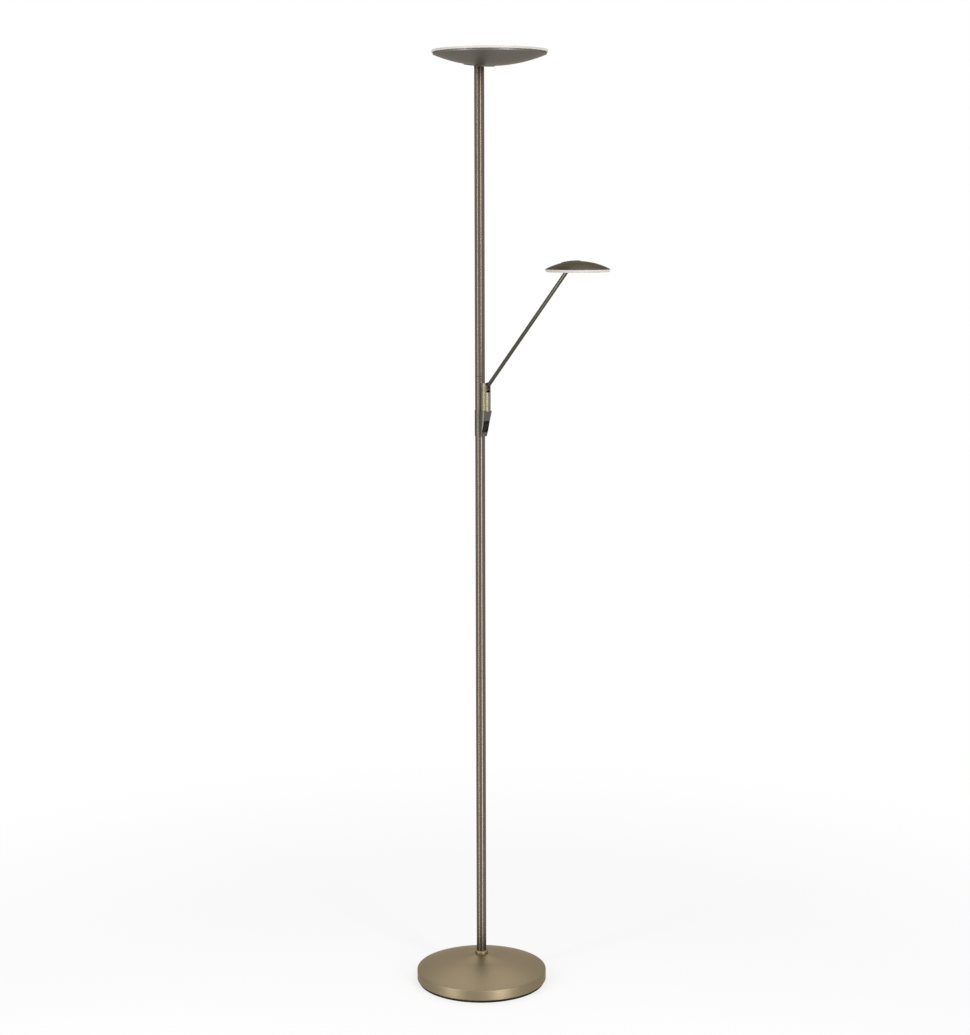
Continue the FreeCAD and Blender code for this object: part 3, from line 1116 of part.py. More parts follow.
# Diffuser of the head: a shallow cup with legs up to the board and a slot for the arm
shade = body("head_diffuser", head_place)
shade_floor = shade_wall - shade_drop
turned(shade, [(NONE, -shade_drop), (shade_radius - shade_round, -shade_drop),
               (shade_radius, shade_round - shade_drop), (shade_radius, -face_gap),
               (shade_radius - shade_wall, -face_gap), (shade_radius - shade_wall, shade_floor),
               (NONE, shade_floor)], {1: (shade_round, 1)})
for number in range(3):
    angle = Size(120 * number, "(120 * %d)" % number)
    leg = circle(sketch_on(shade, "XY_Plane", shade_floor - shade_wall / 2), shade_leg_radius,
                 shade_leg_ring * cosine(angle), shade_leg_ring * sine(angle))
    pad(shade, leg, head_board_rise - face_gap - shade_floor + shade_wall / 2)
arm_slot = outline(sketch_on(shade, "XY_Plane", -(shade_drop + overrun)),
                   rectangle((-(shade_radius + overrun), -(shade_slot / 2)), (slot_end, shade_slot / 2)))
pocket(shade, arm_slot, shade_drop + overrun * 2, up=True)
nodes.append(shade)

# Check every object and every piece, then write one file per piece
doc.recompute()
for thing in doc.Objects:
    if "Invalid" in thing.State or "Error" in thing.State:
        raise ValueError("%s did not build: %s" % (thing.Label, thing.State))
names = [piece.Label for piece in nodes]
if len(set(names)) != len(names):
    raise ValueError("two pieces share a name")
os.makedirs("parts", exist_ok=True)
for piece in nodes:
    shape = piece.Shape
    if shape.isNull() or not shape.isValid() or not shape.Solids:
        raise ValueError("%s has no sound solid" % piece.Label)
    shape.exportStep("parts/%s.step" % piece.Label)
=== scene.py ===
import json
import math

import bmesh
import bpy
import numpy as np
from mathutils import Matrix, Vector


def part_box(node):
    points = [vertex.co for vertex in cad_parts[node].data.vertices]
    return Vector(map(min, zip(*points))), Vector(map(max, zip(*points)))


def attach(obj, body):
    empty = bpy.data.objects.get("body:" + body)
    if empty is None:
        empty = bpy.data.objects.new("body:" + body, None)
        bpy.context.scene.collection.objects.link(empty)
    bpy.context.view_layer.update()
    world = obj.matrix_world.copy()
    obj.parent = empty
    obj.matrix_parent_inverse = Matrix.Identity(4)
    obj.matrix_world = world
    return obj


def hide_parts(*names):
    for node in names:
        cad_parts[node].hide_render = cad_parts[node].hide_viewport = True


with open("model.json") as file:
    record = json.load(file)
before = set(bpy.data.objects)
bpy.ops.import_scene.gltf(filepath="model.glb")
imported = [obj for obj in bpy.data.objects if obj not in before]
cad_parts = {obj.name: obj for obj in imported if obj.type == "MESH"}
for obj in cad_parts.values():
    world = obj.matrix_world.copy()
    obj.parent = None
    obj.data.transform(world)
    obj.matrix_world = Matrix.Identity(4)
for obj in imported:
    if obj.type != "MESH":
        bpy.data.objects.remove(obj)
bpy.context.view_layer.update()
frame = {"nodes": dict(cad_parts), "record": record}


# The camera stands four metres off, a little above the reading head, and looks slightly down. The arm
# reaches towards it and to the right. Lengths are in metres here and below, angles in radians, and the focal
# length is counted in heights of the picture.
camera_distance = 3.9209
camera_height = 1.4927
camera_round = math.radians(57.5)
camera_down = 0.143787
camera_turn = 0.0022717
camera_roll = -0.0024341
picture_height = 1035
focal_length = 2065.73 / picture_height

back = np.array([math.sin(camera_round), -math.cos(camera_round), 0.0])
aside = np.array([math.cos(camera_round), math.sin(camera_round), 0.0])
level = np.cos(camera_turn) * -back + np.sin(camera_turn) * aside
forward = level * np.cos(camera_down) - np.array([0, 0, np.sin(camera_down)])
right = np.cos(camera_turn) * aside + np.sin(camera_turn) * back
upward = np.cross(right, forward)
lens = bpy.data.cameras.new("view")
lens.sensor_width = 36.0
lens.lens = focal_length * lens.sensor_width
lens.clip_end = 60.0
camera = bpy.data.objects.new("view", lens)
bpy.context.scene.collection.objects.link(camera)
pose = np.eye(4)
pose[:3, 0] = right * np.cos(camera_roll) + upward * np.sin(camera_roll)
pose[:3, 1] = upward * np.cos(camera_roll) - right * np.sin(camera_roll)
pose[:3, 2] = -forward
pose[:3, 3] = back * camera_distance + [0, 0, camera_height]
camera.matrix_world = Matrix(pose.tolist())
bpy.context.scene.camera = camera
bpy.context.scene.view_settings.view_transform = "Standard"


# Studio: a white paper floor that keeps the lamp's shadow, a white surround, a broad soft box overhead and
# behind, and two tall soft boxes whose reflections make the bright stripes down the pole. Reflections see the
# surround in place of the floor, so the stripes run down to the pole's foot.
class Flow:
    """A number or colour that varies over a surface. Its sums, differences and products are Math nodes."""

    def __init__(self, nodes, socket):
        self.nodes = nodes
        self.socket = socket

    def worked(self, operation, first, second):
        """The operation on the first and the second value, either of which may be a plain number."""
        return self.nodes.node("ShaderNodeMath", {"operation": operation}, {0: first, 1: second})

    def other(self, output):
        """Another output of the same node."""
        return Flow(self.nodes, self.socket.node.outputs[output])

    def __add__(self, other):
        return self.worked("ADD", self, other)

    def __radd__(self, other):
        return self.worked("ADD", other, self)

    def __sub__(self, other):
        return self.worked("SUBTRACT", self, other)

    def __rsub__(self, other):
        return self.worked("SUBTRACT", other, self)

    def __mul__(self, other):
        return self.worked("MULTIPLY", self, other)

    def __rmul__(self, other):
        return self.worked("MULTIPLY", other, self)


class Nodes:
    """The node tree of a finish, of the floor's paper or of the surround."""

    def __init__(self, tree):
        self.tree = tree

    def feed(self, socket, value):
        """Link a flow to the socket, or set a plain value on it."""
        if isinstance(value, Flow):
            self.tree.links.new(value.socket, socket)
        else:
            socket.default_value = value

    def node(self, kind, settings, sockets, output=0):
        """One node of this kind: its settings first, then the values or links of its sockets."""
        made = self.tree.nodes.new(kind)
        for name, value in settings.items():
            setattr(made, name, value)
        for name, value in sockets.items():
            self.feed(made.inputs[name], value)
        return Flow(self, made.outputs[output])

    def direct(self):
        """1 for rays of the camera, of reflections and through glass, 0 for the light on dull surfaces."""
        rays = self.node("ShaderNodeLightPath", {}, {}, "Is Camera Ray")
        mirrored = rays + rays.other("Is Glossy Ray")
        return self.node("ShaderNodeMath", {"operation": "ADD", "use_clamp": True},
                         {0: mirrored, 1: rays.other("Is Transmission Ray")})


soft_level = 0.50
world = bpy.data.worlds.new("studio")
bpy.context.scene.world = world
world.use_nodes = True
surround = Nodes(world.node_tree)
surround_shader = surround.tree.nodes["Background"]
surround_shader.inputs["Color"].default_value = (1.0, 1.0, 1.0, 1.0)
surround.feed(surround_shader.inputs["Strength"], soft_level + surround.direct() * (1.0 - soft_level))

floor_half = 14.0
floor_glow = 0.70
shadow_reach, plain_from = 0.3, 1.8
floor_corners = [(-floor_half, -floor_half, 0), (floor_half, -floor_half, 0), (floor_half, floor_half, 0),
                 (-floor_half, floor_half, 0)]
floor_mesh = bpy.data.meshes.new("floor")
floor_mesh.from_pydata(floor_corners, [], [(0, 1, 2, 3)])
floor = bpy.data.objects.new("floor", floor_mesh)
bpy.context.scene.collection.objects.link(floor)
paper = bpy.data.materials.new("paper")
paper.use_nodes = True
paper_nodes = Nodes(paper.node_tree)
paper_shader = paper_nodes.tree.nodes["Principled BSDF"]
paper_shader.inputs["Base Color"].default_value = (0.94, 0.94, 0.94, 1.0)
paper_shader.inputs["Roughness"].default_value = 0.9
paper_shader.inputs["Specular IOR Level"].default_value = 0.1
white = paper_nodes.node("ShaderNodeEmission", {}, {"Strength": 1.0})
lit = Flow(paper_nodes, paper_shader.outputs[0])
spot = paper_nodes.node("ShaderNodeTexCoord", {}, {}, "Object")
off = paper_nodes.node("ShaderNodeVectorMath", {"operation": "LENGTH"}, {0: spot}, "Value")
outside = paper_nodes.node("ShaderNodeMapRange", {"interpolation_type": "SMOOTHSTEP"},
                           {"Value": off, "From Min": shadow_reach, "From Max": plain_from,
                            "To Min": floor_glow, "To Max": 1.0})
shown = paper_nodes.node("ShaderNodeMixShader", {}, {0: paper_nodes.direct() * outside, 1: lit, 2: white})
paper_nodes.feed(paper_nodes.tree.nodes["Material Output"].inputs["Surface"], shown)
floor_mesh.materials.append(paper)
floor.visible_glossy = False
floor.visible_shadow = False


def soft_box(name, round_to, distance, height, aim_height, width, length, level):
    """A soft box of even level, turned to face the pole's axis at the aim height.

    It stands at an angle in degrees round the pole from the camera. Its power is level times pi times area.
    """
    turn = camera_round + math.radians(round_to)
    place = np.array([math.sin(turn) * distance, -math.cos(turn) * distance, height])
    away = place - np.array([0, 0, aim_height])
    away /= np.linalg.norm(away)
    across = np.array([math.cos(turn), math.sin(turn), 0.0])
    light = bpy.data.lights.new(name, "AREA")
    light.shape = "RECTANGLE"
    light.size = width
    light.size_y = length
    light.energy = level * math.pi * width * length
    box = bpy.data.objects.new(name, light)
    bpy.context.scene.collection.objects.link(box)
    stand = np.eye(4)
    stand[:3, 0], stand[:3, 1], stand[:3, 2] = across, np.cross(away, across), away
    stand[:3, 3] = place
    box.matrix_world = Matrix(stand.tolist())


for strip, strip_turn, strip_width in (("box_left", -50, 0.21), ("box_right", 32, 0.29)):
    soft_box(strip, strip_turn, distance=1.3, height=0.9, aim_height=0.9, width=strip_width, length=3.3,
             level=7.0)
soft_box("box_overhead", 180, distance=2.2, height=3.6, aim_height=0.3, width=3.0, length=2.4, level=1.2)


# Base cover: sheet steel pressed to a low dome with a straight side, lacquered satin bronze. It hides the
# cast weight and carries the collar at the foot of the pole. The dome is crowned outside and hollow towards
# the collar, and the cut edge of the side is rounded.
class Finish(Nodes):
    """A material with one Principled shader, and the nodes that vary it over the surface.

    Fixed sets further sockets of the shader by name, with _ for each space.
    """

    def __init__(self, name, colour, **fixed):
        self.material = bpy.data.materials.new(name)
        self.material.use_nodes = True
        super().__init__(self.material.node_tree)
        self.shader = self.tree.nodes["Principled BSDF"]
        self.shader.inputs["Base Color"].default_value = (*colour, 1.0)
        for socket, value in fixed.items():
            self.shader.inputs[socket.replace("_", " ")].default_value = value
        self.colour = colour
        self.place = self.node("ShaderNodeTexCoord", {}, {}, "Object")
        self.laid = self.place.other("UV")

    def noise(self, scale, detail=3.0, stretch=(1.0, 1.0, 1.0), along=None):
        """Fractal noise between about 0.3 and 0.7, with about scale spots to the metre.

        A small factor of stretch draws it out along that axis, of the object or of the map given as along.
        """
        placed = self.node("ShaderNodeMapping", {}, {"Vector": along or self.place, "Scale": stretch})
        return self.node("ShaderNodeTexNoise", {},
                         {"Vector": placed, "Scale": scale, "Detail": detail}, "Fac")

    def stepped(self, value, low, high):
        """0 below low and 1 above high, with a smooth step between."""
        return self.node("ShaderNodeMapRange", {"interpolation_type": "SMOOTHSTEP"},
                         {"Value": value, "From Min": low, "From Max": high})

    def mixed(self, share, first, second):
        """The first colour where the share is 0 and the second where it is 1."""
        share_in, first_in, second_in, result = 0, 6, 7, 2
        first = first if isinstance(first, Flow) else (*first, 1.0)
        second = second if isinstance(second, Flow) else (*second, 1.0)
        return self.node("ShaderNodeMix", {"data_type": "RGBA"},
                         {share_in: share, first_in: first, second_in: second}, result)

    def shaded(self, low, high, share):
        """Base colour that runs from low to high times the finish's own colour."""
        darker = [channel * low for channel in self.colour]
        lighter = [channel * high for channel in self.colour]
        self.coloured(self.mixed(share, darker, lighter))

    def coloured(self, colour):
        """Base colour that follows this flow."""
        self.feed(self.shader.inputs["Base Color"], colour)

    def rough(self, value):
        """Roughness that follows this flow."""
        self.feed(self.shader.inputs["Roughness"], value)

    def bumped(self, height, depth):
        """Raise the surface by the height times the depth in metres."""
        bump = self.node("ShaderNodeBump", {},
                         {"Strength": 1.0, "Distance": depth, "Height": height}, "Normal")
        self.feed(self.shader.inputs["Normal"], bump)

    def on(self, *names):
        """Give the finish to these nodes of the frame."""
        for name in names:
            slots = frame["nodes"][name].data.materials
            slots.clear()
            slots.append(self.material)


# Each part's copy of this lacquer below has its own colour. The copies differ in brightness as painted light
# and shade, each set to how bright that part shows under the light, not as different lacquers.
def satin_bronze(name, colour, edge, gloss, stretch=(1.0, 1.0, 1.0), laid=False, **fixed):
    """Satin bronze lacquer over fine grain, which runs along the axis with the small stretch factor.

    A glancing view is tinted by edge, a little less in green and blue. Roughness is gloss plus small shares
    of grain and clouds, and the colour runs from 0.92 to 1.08 times the finish's own with the same two. With
    laid, the grain follows the UV map.
    """
    green_share, blue_share = 0.93, 0.84
    ripple_depth = 0.0000004
    tint = (edge, edge * green_share, edge * blue_share, 1.0)
    finish = Finish(name, colour, Metallic=1.0, Specular_Tint=tint, **fixed)
    clouds = finish.noise(9.0)
    grain = finish.noise(1400.0, detail=4.0, stretch=stretch, along=finish.laid if laid else finish.place)
    finish.shaded(0.92, 1.08, clouds * 0.6 + grain * 0.4)
    finish.rough(gloss + grain * 0.05 + clouds * 0.04)
    finish.bumped(grain * 0.8 + finish.noise(180.0, detail=2.0) * 0.2, ripple_depth)
    return finish


same_point = 1e-7
in_line = 1e-9


def round_off(corners, rounded, steps=6):
    """Closed outline through corners, with an arc at each corner for which rounded gives a radius.

    With u and w the directions from a corner to its neighbours and t the angle between them, the arc touches
    both sides r / tan(t / 2) from the corner and its centre lies r / sin(t / 2) away along u + w.
    """
    corners = np.asarray(corners, float)
    radii = np.zeros((len(corners), 1))
    for corner, radius in rounded.items():
        radii[corner] = radius
    before = np.roll(corners, 1, axis=0) - corners
    after = np.roll(corners, -1, axis=0) - corners
    before /= np.linalg.norm(before, axis=1, keepdims=True)
    after /= np.linalg.norm(after, axis=1, keepdims=True)
    half = np.arccos(np.clip((before * after).sum(axis=1, keepdims=True), -1, 1)) / 2
    inward = before + after
    length = np.linalg.norm(inward, axis=1, keepdims=True)
    inward = np.divide(inward, length, out=np.zeros_like(inward), where=length > in_line)
    centre = corners + inward * radii / np.sin(half)
    touch = np.stack([corners + before * radii / np.tan(half),
                      corners + after * radii / np.tan(half)]) - centre
    start, end = np.arctan2(touch[..., 1], touch[..., 0])
    sweep = (end - start + np.pi) % (2 * np.pi) - np.pi
    angle = start[:, None] + sweep[:, None] * np.linspace(0, 1, steps)
    points = centre[:, None] + radii[:, None] * np.stack([np.cos(angle), np.sin(angle)], axis=-1)
    points = points.reshape(-1, 2)
    kept = np.linalg.norm(points - np.roll(points, 1, axis=0), axis=1) > same_point
    return points[kept]


sharp_angle = math.radians(40)


def turned_skin(name, profile, centre=(0, 0, 0), lean=0.0, around=192, ring=False):
    """Skin of a turned piece from its profile of (radius r, height z), bottom first and top last.

    Row i, column j is (r cos a, r sin a, z) at a = 2 pi j / around, leaned about Y and moved to the centre.
    A ring's profile closes on itself. The UV map runs round the piece and along the profile, in metres.
    """
    count = len(profile)
    angle = np.arange(around) * 2 * np.pi / around
    points = np.stack([np.outer(profile[:, 0], np.cos(angle)), np.outer(profile[:, 0], np.sin(angle)),
                       np.repeat(profile[:, 1:], around, axis=1)], axis=-1).reshape(-1, 3)
    turn = np.array([[math.cos(lean), 0, math.sin(lean)], [0, 1, 0], [-math.sin(lean), 0, math.cos(lean)]])
    rows = count if ring else count - 1
    row, column = np.meshgrid(np.arange(rows), np.arange(around), indexing="ij")
    steps = np.array([[0, 0], [0, 1], [1, 1], [1, 0]])
    face_rows = row[..., None] + steps[:, 0]
    face_columns = column[..., None] + steps[:, 1]
    faces = (face_rows % count) * around + face_columns % around
    mesh = bpy.data.meshes.new(name)
    mesh.from_pydata((points @ turn.T + centre).tolist(), [], faces.reshape(-1, 4).tolist())
    closed = np.vstack([profile, profile[:1]])
    along = np.concatenate([[0.0], np.cumsum(np.linalg.norm(np.diff(closed, axis=0), axis=1))])
    girth = 2 * np.pi * profile[:, 0].max() / around
    laid = np.stack([face_columns * girth, along[face_rows]], axis=-1)
    mesh.uv_layers.new(name="laid").data.foreach_set("uv", laid.ravel())
    shell = bmesh.new()
    shell.from_mesh(mesh)
    bmesh.ops.remove_doubles(shell, verts=shell.verts, dist=same_point)
    bmesh.ops.recalc_face_normals(shell, faces=shell.faces)
    shell.to_mesh(mesh)
    shell.free()
    mesh.polygons.foreach_set("use_smooth", np.ones(len(mesh.polygons), bool))
    mesh.set_sharp_from_angle(angle=sharp_angle)
    piece = bpy.data.objects.new(name, mesh)
    bpy.context.scene.collection.objects.link(piece)
    return piece


def fit(piece, node, body, finish):
    """The piece takes the node's place on its body, in this finish."""
    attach(piece, body)
    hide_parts(node)
    piece.data.materials.append(finish.material)


def slope_arc(start, radius, first, last, count, crowned=1):
    """Arc given by its slope s: r = r0 - R c (sin first - sin s), z = z0 + R c (cos s - cos first).

    Here c is 1 where the arc is crowned and -1 where it is hollow.
    """
    slope = np.linspace(first, last, count)
    return np.stack([start[0] - radius * crowned * (np.sin(first) - np.sin(slope)),
                     start[1] + radius * crowned * (np.cos(slope) - np.cos(first))], axis=-1)


lathe_rings = (0.02, 1.0, 1.0)
# The cover's and collar's copy of the lacquer is lighter than the pole's as painted light, for the light that
# falls on the base.
pressed_lit_bronze = satin_bronze("pressed_lit_bronze", (0.218, 0.175, 0.111), 0.70, 0.40, lathe_rings, laid=True)
cover_low, cover_high = np.array(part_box("base_cover"))
base_radius = cover_high[0]
cover_wall = 0.0012
cover_edge = cover_wall * 0.42
side_height = 0.0175
shoulder_radius = 0.003
nipple_hole = 0.0053
seat_radius, waist_radius = 0.013, 0.050
edge_angle, waist_angle, seat_angle = np.radians([22.0, 8.0, 18.0])
side_top = cover_low[2] + side_height
shoulder = slope_arc((base_radius, side_top), shoulder_radius, np.pi / 2, edge_angle, count=12)
crown_radius = (shoulder[-1, 0] - waist_radius) / (np.sin(edge_angle) - np.sin(waist_angle))
crown = slope_arc(shoulder[-1], crown_radius, edge_angle, waist_angle, count=40)
flare_radius = (waist_radius - seat_radius) / (np.sin(seat_angle) - np.sin(waist_angle))
flare = slope_arc(crown[-1], flare_radius, waist_angle, seat_angle, count=24, crowned=-1)
outer = np.vstack([[(base_radius, cover_low[2])], shoulder, crown[1:], flare[1:],
                   [(nipple_hole, cover_high[2])]])
inner = outer[::-1] - [cover_wall, cover_wall]
inner[0] = (nipple_hole, cover_high[2] - cover_wall)
inner[-1] = (base_radius - cover_wall, cover_low[2])
cover_profile = round_off(np.vstack([outer, inner]), {0: cover_edge, -1: cover_edge})
cover_piece = turned_skin("cover_skin", cover_profile, around=256, ring=True)
fit(cover_piece, "base_cover", "stand", pressed_lit_bronze)


# Collar: a turned brass ring in the same lacquer, slipped over the pole and pressed down on the cover.
# Its rounded upper edge catches the light.
def sleeve(bore, radius, bottom, top, rounded, steps=6):
    """Outline of a tube's wall, from corner 0 in the bore at the bottom round to corner 3 at its top."""
    return round_off([(bore, bottom), (radius, bottom), (radius, top), (bore, top)], rounded, steps)


collar_low, collar_high = np.array(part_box("base_collar"))
collar_bore = 0.00955
collar_foot, collar_shoulder, collar_brim = 0.0003, 0.0024, 0.0002
collar_profile = sleeve(collar_bore, collar_high[0], collar_low[2], collar_high[2],
                        {1: collar_foot, 2: collar_shoulder, 3: collar_brim})
collar_piece = turned_skin("collar_skin", collar_profile, ring=True)
fit(collar_piece, "base_collar", "stand", pressed_lit_bronze)


# Foot and grommet: black rubber, moulded with a fine matt texture, a little paler where dust has settled.
# The foot is a flat pad under the base plate, and the grommet is pressed into the cable inlet in the side.
rubber = Finish("moulded_rubber", (0.011, 0.010, 0.009), Specular_IOR_Level=0.15)
pebble = rubber.noise(2600.0, detail=2.0)
dust = rubber.stepped(rubber.noise(70.0, detail=4.0), 0.50, 0.72)
dust_colour = (0.045, 0.042, 0.038)
rubber.coloured(rubber.mixed(dust * 0.35, rubber.colour, dust_colour))
rubber.rough(0.72 + pebble * 0.2)
rubber.bumped(pebble, depth=0.00003)
rubber.on("foot_pad", "cable_grommet")


# Inside the base: a cast iron weight with a sandy skin on a zinc-plated plate, held to the cover and the
# pole by a threaded brass nipple with its zinc-plated nut and washer.
iron = Finish("cast_iron", (0.055, 0.052, 0.050), Metallic=0.7)
sand = iron.noise(900.0, detail=4.0)
rust = iron.stepped(iron.noise(45.0, detail=4.0), 0.56, 0.70)
sand_colour, rust_colour = (0.10, 0.094, 0.088), (0.12, 0.055, 0.030)
iron.coloured(iron.mixed(rust * 0.5, iron.mixed(sand, iron.colour, sand_colour), rust_colour))
iron.rough(0.55 + sand * 0.25)
iron.bumped(sand, depth=0.0002)
iron.on("base_weight")

zinc = Finish("zinc_plate", (0.43, 0.44, 0.47), Metallic=1.0)
spangle = zinc.node("ShaderNodeTexVoronoi", {"feature": "F1"},
                    {"Vector": zinc.place, "Scale": 420.0}, "Color")
haze = zinc.noise(160.0)
straw_zinc, mid_height = (0.60, 0.59, 0.55), (0.5, 0.5, 0.5)
zinc.coloured(zinc.mixed(zinc.stepped(haze, 0.42, 0.60), zinc.colour, straw_zinc))
zinc.rough(0.24 + haze * 0.22)
zinc.bumped(zinc.mixed(haze, spangle, mid_height), depth=0.000004)
zinc.on("base_plate", "base_washer", "base_nut")

brass = Finish("thread_brass", (0.62, 0.42, 0.16), Metallic=1.0)
thread_pitch = 0.001
unscaled_wave = math.pi / 10
turns = brass.node("ShaderNodeTexWave",
                   {"wave_type": "BANDS", "bands_direction": "Z", "wave_profile": "TRI"},
                   {"Vector": brass.place, "Scale": unscaled_wave / thread_pitch}, "Fac")
tarnish = brass.noise(130.0, detail=4.0)
# The colour darkens with the tarnish, and also into the grooves of the thread as painted shade.
brass.shaded(0.72, 1.12, tarnish * 0.7 + turns * 0.3)
brass.rough(0.22 + tarnish * 0.25)
brass.bumped(turns, depth=0.0003)
brass.on("base_nipple", "bowl_nipple")


# Pole: three steel tubes, ground smooth on the outside, lacquered and butted over couplers, so that only two
# fine joint lines show. The rings of the grinding draw every reflection out along the tube. The mains cable
# runs up inside.
ground_rings = (0.02, 0.02, 1.0)
ground_bronze = satin_bronze("ground_bronze", (0.126, 0.108, 0.083), 0.66, 0.22, ground_rings,
                             Anisotropic=0.8, Anisotropic_Rotation=0.25)
tube_wall = 0.001
tube_edge = 0.00035
for tube_name in ("lower_pole", "middle_pole", "upper_pole"):
    tube_low, tube_high = np.array(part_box(tube_name))
    tube_profile = sleeve(tube_high[0] - tube_wall, tube_high[0], tube_low[2], tube_high[2],
                          {1: tube_edge, 2: tube_edge}, steps=4)
    tube_piece = turned_skin(tube_name + "_skin", tube_profile, around=96, ring=True)
    fit(tube_piece, tube_name, "stand", ground_bronze)
zinc.on("pole_couplers", "pole_plugs")

cable = Finish("cable_sheath", (0.018, 0.018, 0.018))
lengthwise = (1.0, 1.0, 0.05)
drag = cable.noise(700.0, stretch=lengthwise)
cable.shaded(0.7, 1.5, drag)
cable.rough(0.42 + drag * 0.2)
cable.bumped(drag, depth=0.00003)
cable.on("pole_cable", "arm_wires")


# Bowl: a shallow dish, spun from sheet with a short upright lip, on a thin dished plate that seats it on the
# pole. Its axis stands in front of the pole's axis. A nipple and nut hold both to the pole's end.
def dome(ball, radius, first, last, count):
    """Points (r, z) on a sphere about the origin: r = radius sqrt(t) and z = sqrt(ball^2 - r^2).

    Here ball is the sphere's radius, and t runs evenly from first to last, so the rows between the points
    have equal areas seen from above.
    """
    radii = radius * np.sqrt(np.linspace(first, last, count))
    return np.stack([radii, np.sqrt(ball ** 2 - radii ** 2)], axis=-1)


# The bowl's copy of the lacquer is lighter than the pole's as painted light, for the light on its underside.
spun_lit_bronze = satin_bronze("spun_lit_bronze", (0.153, 0.142, 0.132), 0.55, 0.36, lathe_rings, laid=True)
bowl_low, bowl_high = np.array(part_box("bowl_shell"))
bowl_radius = (bowl_high[0] - bowl_low[0]) / 2
bowl_centre = (bowl_low[0] + bowl_radius, 0.0, bowl_low[2])
bowl_depth = bowl_high[2] - bowl_low[2]
bowl_wall = 0.0012
bowl_lip = 0.0035
lip_edge = bowl_wall * 0.45
lip_bend = bowl_lip * 0.4
bowl_points = 60
dish_depth = bowl_depth - bowl_lip
bowl_ball = (bowl_radius ** 2 + dish_depth ** 2) / (2 * dish_depth)
mirrored = [1, -1]
under = [0, bowl_ball] + mirrored * dome(bowl_ball, bowl_radius, 0, 1, bowl_points)
over = [0, bowl_ball] + mirrored * dome(bowl_ball - bowl_wall, bowl_radius - bowl_wall, 1, 0, bowl_points)
lip = [(bowl_radius, bowl_depth), (bowl_radius - bowl_wall, bowl_depth)]
bowl_profile = round_off(np.vstack([under, lip, over]),
                         {bowl_points - 1: lip_bend, bowl_points: lip_edge, bowl_points + 1: lip_edge})
bowl_piece = turned_skin("bowl_skin", bowl_profile, bowl_centre, around=256)
fit(bowl_piece, "bowl_shell", "stand", spun_lit_bronze)
zinc.on("bowl_nut")

# The flange's copy of the lacquer is darker as painted shade, for the shade under the bowl.
flange_shaded_bronze = satin_bronze("flange_shaded_bronze", (0.084, 0.074, 0.062), 0.40, 0.28)
flange_shaded_bronze.on("bowl_flange")


# Inside the bowl: the driver's box and a white board with two rings of small lamps under the opal diffuser.
# The board stands on nylon spacers with a screw in each, and a nylon wedge lies under the bowl's nut.
board = Finish("white_board", (0.80, 0.80, 0.77), Roughness=0.42)
resin_colour = (0.70, 0.71, 0.64)
weave = board.node("ShaderNodeTexWave", {"wave_type": "RINGS", "rings_direction": "Z"},
                   {"Vector": board.place, "Scale": 60.0, "Distortion": 1.5}, "Fac")
board.coloured(board.mixed(board.stepped(weave, 0.80, 0.86), board.colour, resin_colour))
board.bumped(weave * 0.4 + board.noise(1500.0, detail=2.0) * 0.3, depth=0.00003)
board.on("bowl_led_board", "head_led_board")

chip = Finish("lamp_chips", (0.88, 0.66, 0.16))
speck = chip.noise(2400.0)
speck_colour = (0.92, 0.80, 0.42)
chip.coloured(chip.mixed(speck, chip.colour, speck_colour))
chip.rough(0.25 + speck * 0.2)
chip.on("bowl_leds", "head_leds")

case = Finish("driver_case", (0.74, 0.74, 0.72))
stipple = case.noise(2000.0, detail=2.0)
case.shaded(0.95, 1.03, case.noise(60.0))
case.rough(0.42 + stipple * 0.2)
case.bumped(stipple, depth=0.00004)
case.on("led_driver")

nylon = Finish("natural_nylon", (0.66, 0.64, 0.57))
flow_marks = nylon.noise(340.0, stretch=(1.0, 1.0, 0.3))
nylon.shaded(0.90, 1.06, flow_marks)
nylon.rough(0.38 + flow_marks * 0.2)
nylon.bumped(flow_marks, depth=0.00002)
nylon.on("wedge_washer", "board_spacers")
zinc.on("board_screws")


# Diffusers: opal plastic that closes the bowl on top and the reading head below, frosted and slightly warm.
# Each is moulded in one piece, with legs that stand on the board of its lamps. Both colours are painted
# shade: the opal is near white, darkened for the shade on its edge and underside, the head's more.
for opal_name, diffuser, opal_shaded_colour in (("opal_bowl", "bowl_diffuser", (0.60, 0.555, 0.495)),
                                   ("opal_head", "head_diffuser", (0.47, 0.44, 0.40))):
    opal = Finish(opal_name, opal_shaded_colour)
    frost = opal.noise(1800.0, detail=2.0)
    opal.shaded(0.96, 1.03, opal.noise(14.0))
    opal.rough(0.34 + frost * 0.2)
    opal.bumped(frost, depth=0.00001)
    opal.on(diffuser)


# Bracket: a die-cast housing round the pole that carries the stub of the swivel, with a black rocker switch
# in its slanted face. It is cast, blasted and lacquered like the rest, and a screw clamps it to the pole.
cast_bronze = satin_bronze("cast_bronze", (0.106, 0.101, 0.085), 0.45, 0.27)
cast_bronze.on("bracket_housing")
zinc.on("clamp_screw")

switch = Finish("switch_plastic", (0.0085, 0.0070, 0.0055), Specular_IOR_Level=0.12)
spark = switch.noise(3800.0)
rubbed = switch.stepped(switch.noise(240.0), 0.52, 0.66)
switch.shaded(0.8, 1.4, spark)
switch.rough(0.50 - rubbed * 0.14)
switch.bumped(spark, depth=0.00003)
switch.on("switch_frame", "switch_rocker")


# Swivel: a turned head on the bracket's stub, with a slot for the arm, and the hinge's screw and round nut
# sunk in its sides, all in the same lacquer. A hollow zinc-plated bolt holds it down and lets it turn, and
# nylon washers lie in the seam and in the slot.
# This copy of the lacquer is lighter than the pole's and the arm's as painted light, for the light on the
# swivel head.
turned_lit_bronze = satin_bronze("turned_lit_bronze", (0.208, 0.184, 0.127), 0.55, 0.34, lengthwise)
turned_lit_bronze.on("stub_tube", "swivel_head", "tilt_screw", "tilt_nut", "arm_lower_end", "arm_upper_end")
zinc.on("swivel_washer", "swivel_bolt")
nylon.on("seam_washer", "friction_washers")


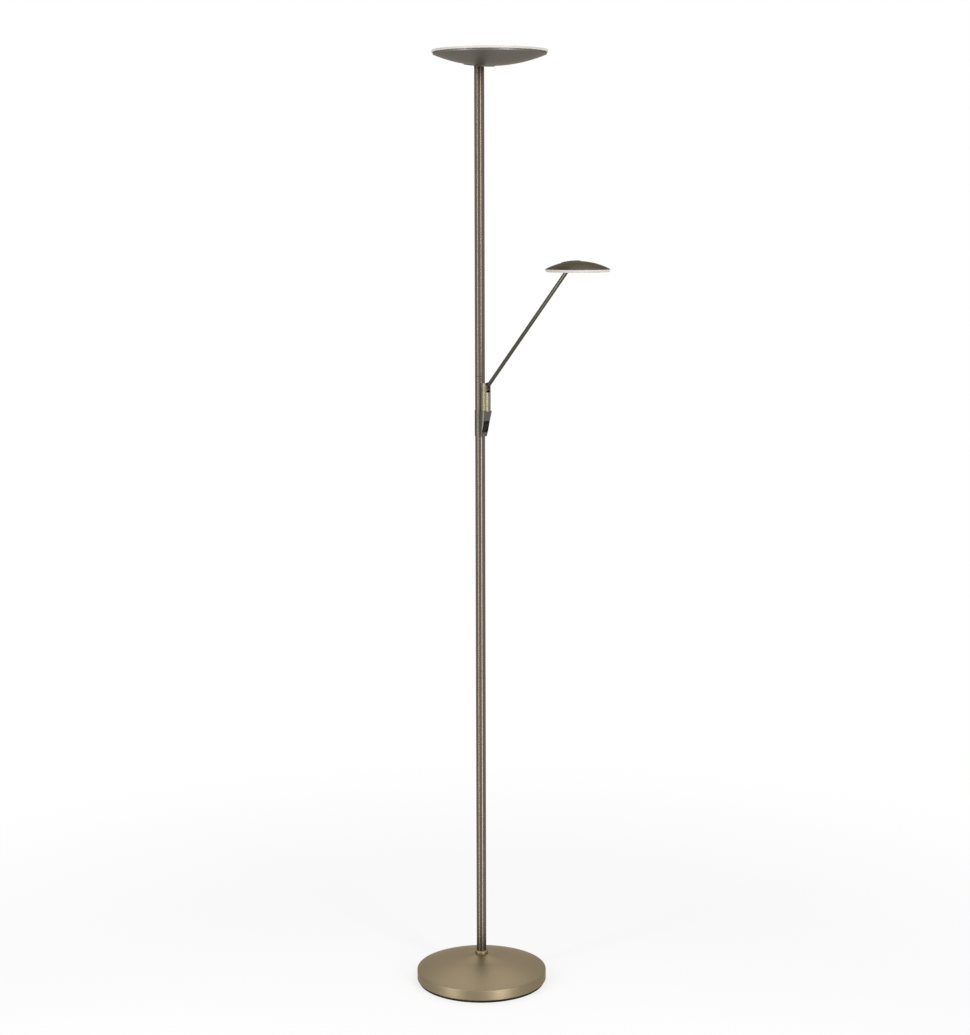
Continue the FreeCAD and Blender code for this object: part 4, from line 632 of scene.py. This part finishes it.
# Arm: a thin drawn tube between the hinge in the swivel head and the hinge under the reading head, in the
# same lacquer. It is pushed over a turned fitting at each end, and the wires run through it.
joints = {joint["name"]: np.array(joint["pos_m"]) for joint in frame["record"]["behaviour"]["joints"]}
arm_start, arm_end = joints["arm_tilt"], joints["head_tilt"]
arm_length = np.linalg.norm(arm_end - arm_start)
arm_lean = math.atan2(arm_end[0] - arm_start[0], arm_end[2] - arm_start[2])
arm_radius = 0.0036
arm_wall = 0.0008
arm_edge = 0.0003
lower_fitting, upper_fitting = 0.0095, 0.0074
arm_profile = sleeve(arm_radius - arm_wall, arm_radius, lower_fitting, arm_length - upper_fitting,
                     {1: arm_edge, 2: arm_edge}, steps=4)
arm_piece = turned_skin("arm_skin", arm_profile, arm_start, arm_lean, around=64, ring=True)
drawn_lines = (1.0, 0.012, 1.0)
arm_bronze = satin_bronze("arm_bronze", (0.086, 0.082, 0.068), 0.50, 0.18, drawn_lines, laid=True)
fit(arm_piece, "arm_tube", "arm", arm_bronze)


# Reading head: a shallow dome spun from sheet over the board, with a thin raised cap over its hinge, both
# in satin bronze. The fork and pin of the hinge and the posts and screws of the board and cap are inside.
# The head's copy of the lacquer is darker than the bowl's as painted shade.
head_shaded_bronze = satin_bronze("head_shaded_bronze", (0.097, 0.091, 0.082), 0.36, 0.28, lathe_rings, laid=True)
head_low, head_high = np.array(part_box("head_shell"))
head_radius = (head_high[0] - head_low[0]) / 2
head_centre = (head_low[0] + head_radius, 0.0, head_low[2])
head_depth = head_high[2] - head_low[2]
head_wall = 0.001
head_edge = 0.0003
head_points = 50
head_ball = (head_radius ** 2 + head_depth ** 2) / (2 * head_depth)
head_sink = head_ball - head_depth
rim_inner = math.sqrt((head_ball - head_wall) ** 2 - head_sink ** 2)
over = dome(head_ball, head_radius, 1, 0, head_points) - [0, head_sink]
under = dome(head_ball - head_wall, rim_inner, 0, 1, head_points) - [0, head_sink]
head_profile = round_off(np.vstack([over, under]), {0: head_edge, -1: head_edge})[::-1]
head_piece = turned_skin("head_skin", head_profile, head_centre, around=224)
fit(head_piece, "head_shell", "reading_head", head_shaded_bronze)

cap_radius = 0.018
cap_thickness = 0.001
cap_gap = 0.00005
cap_foot, cap_edge = 0.0002, 0.0005
cap_points = 16
cap_lean = -math.asin((head_centre[0] - arm_end[0]) / head_ball)
cap_centre = (head_centre[0], 0.0, head_centre[2] - head_sink)
under = dome(head_ball + cap_gap, cap_radius, 0, 1, cap_points)
over = dome(head_ball + cap_gap + cap_thickness, cap_radius, 0, 1, cap_points)[::-1]
cap_profile = round_off(np.vstack([under, over]), {cap_points - 1: cap_foot, cap_points: cap_edge})
cap_piece = turned_skin("cap_skin", cap_profile, cap_centre, cap_lean, around=128)
fit(cap_piece, "head_cap", "reading_head", head_shaded_bronze)
zinc.on("head_fork", "head_pin", "cap_screws", "head_board_screws")
nylon.on("head_posts")
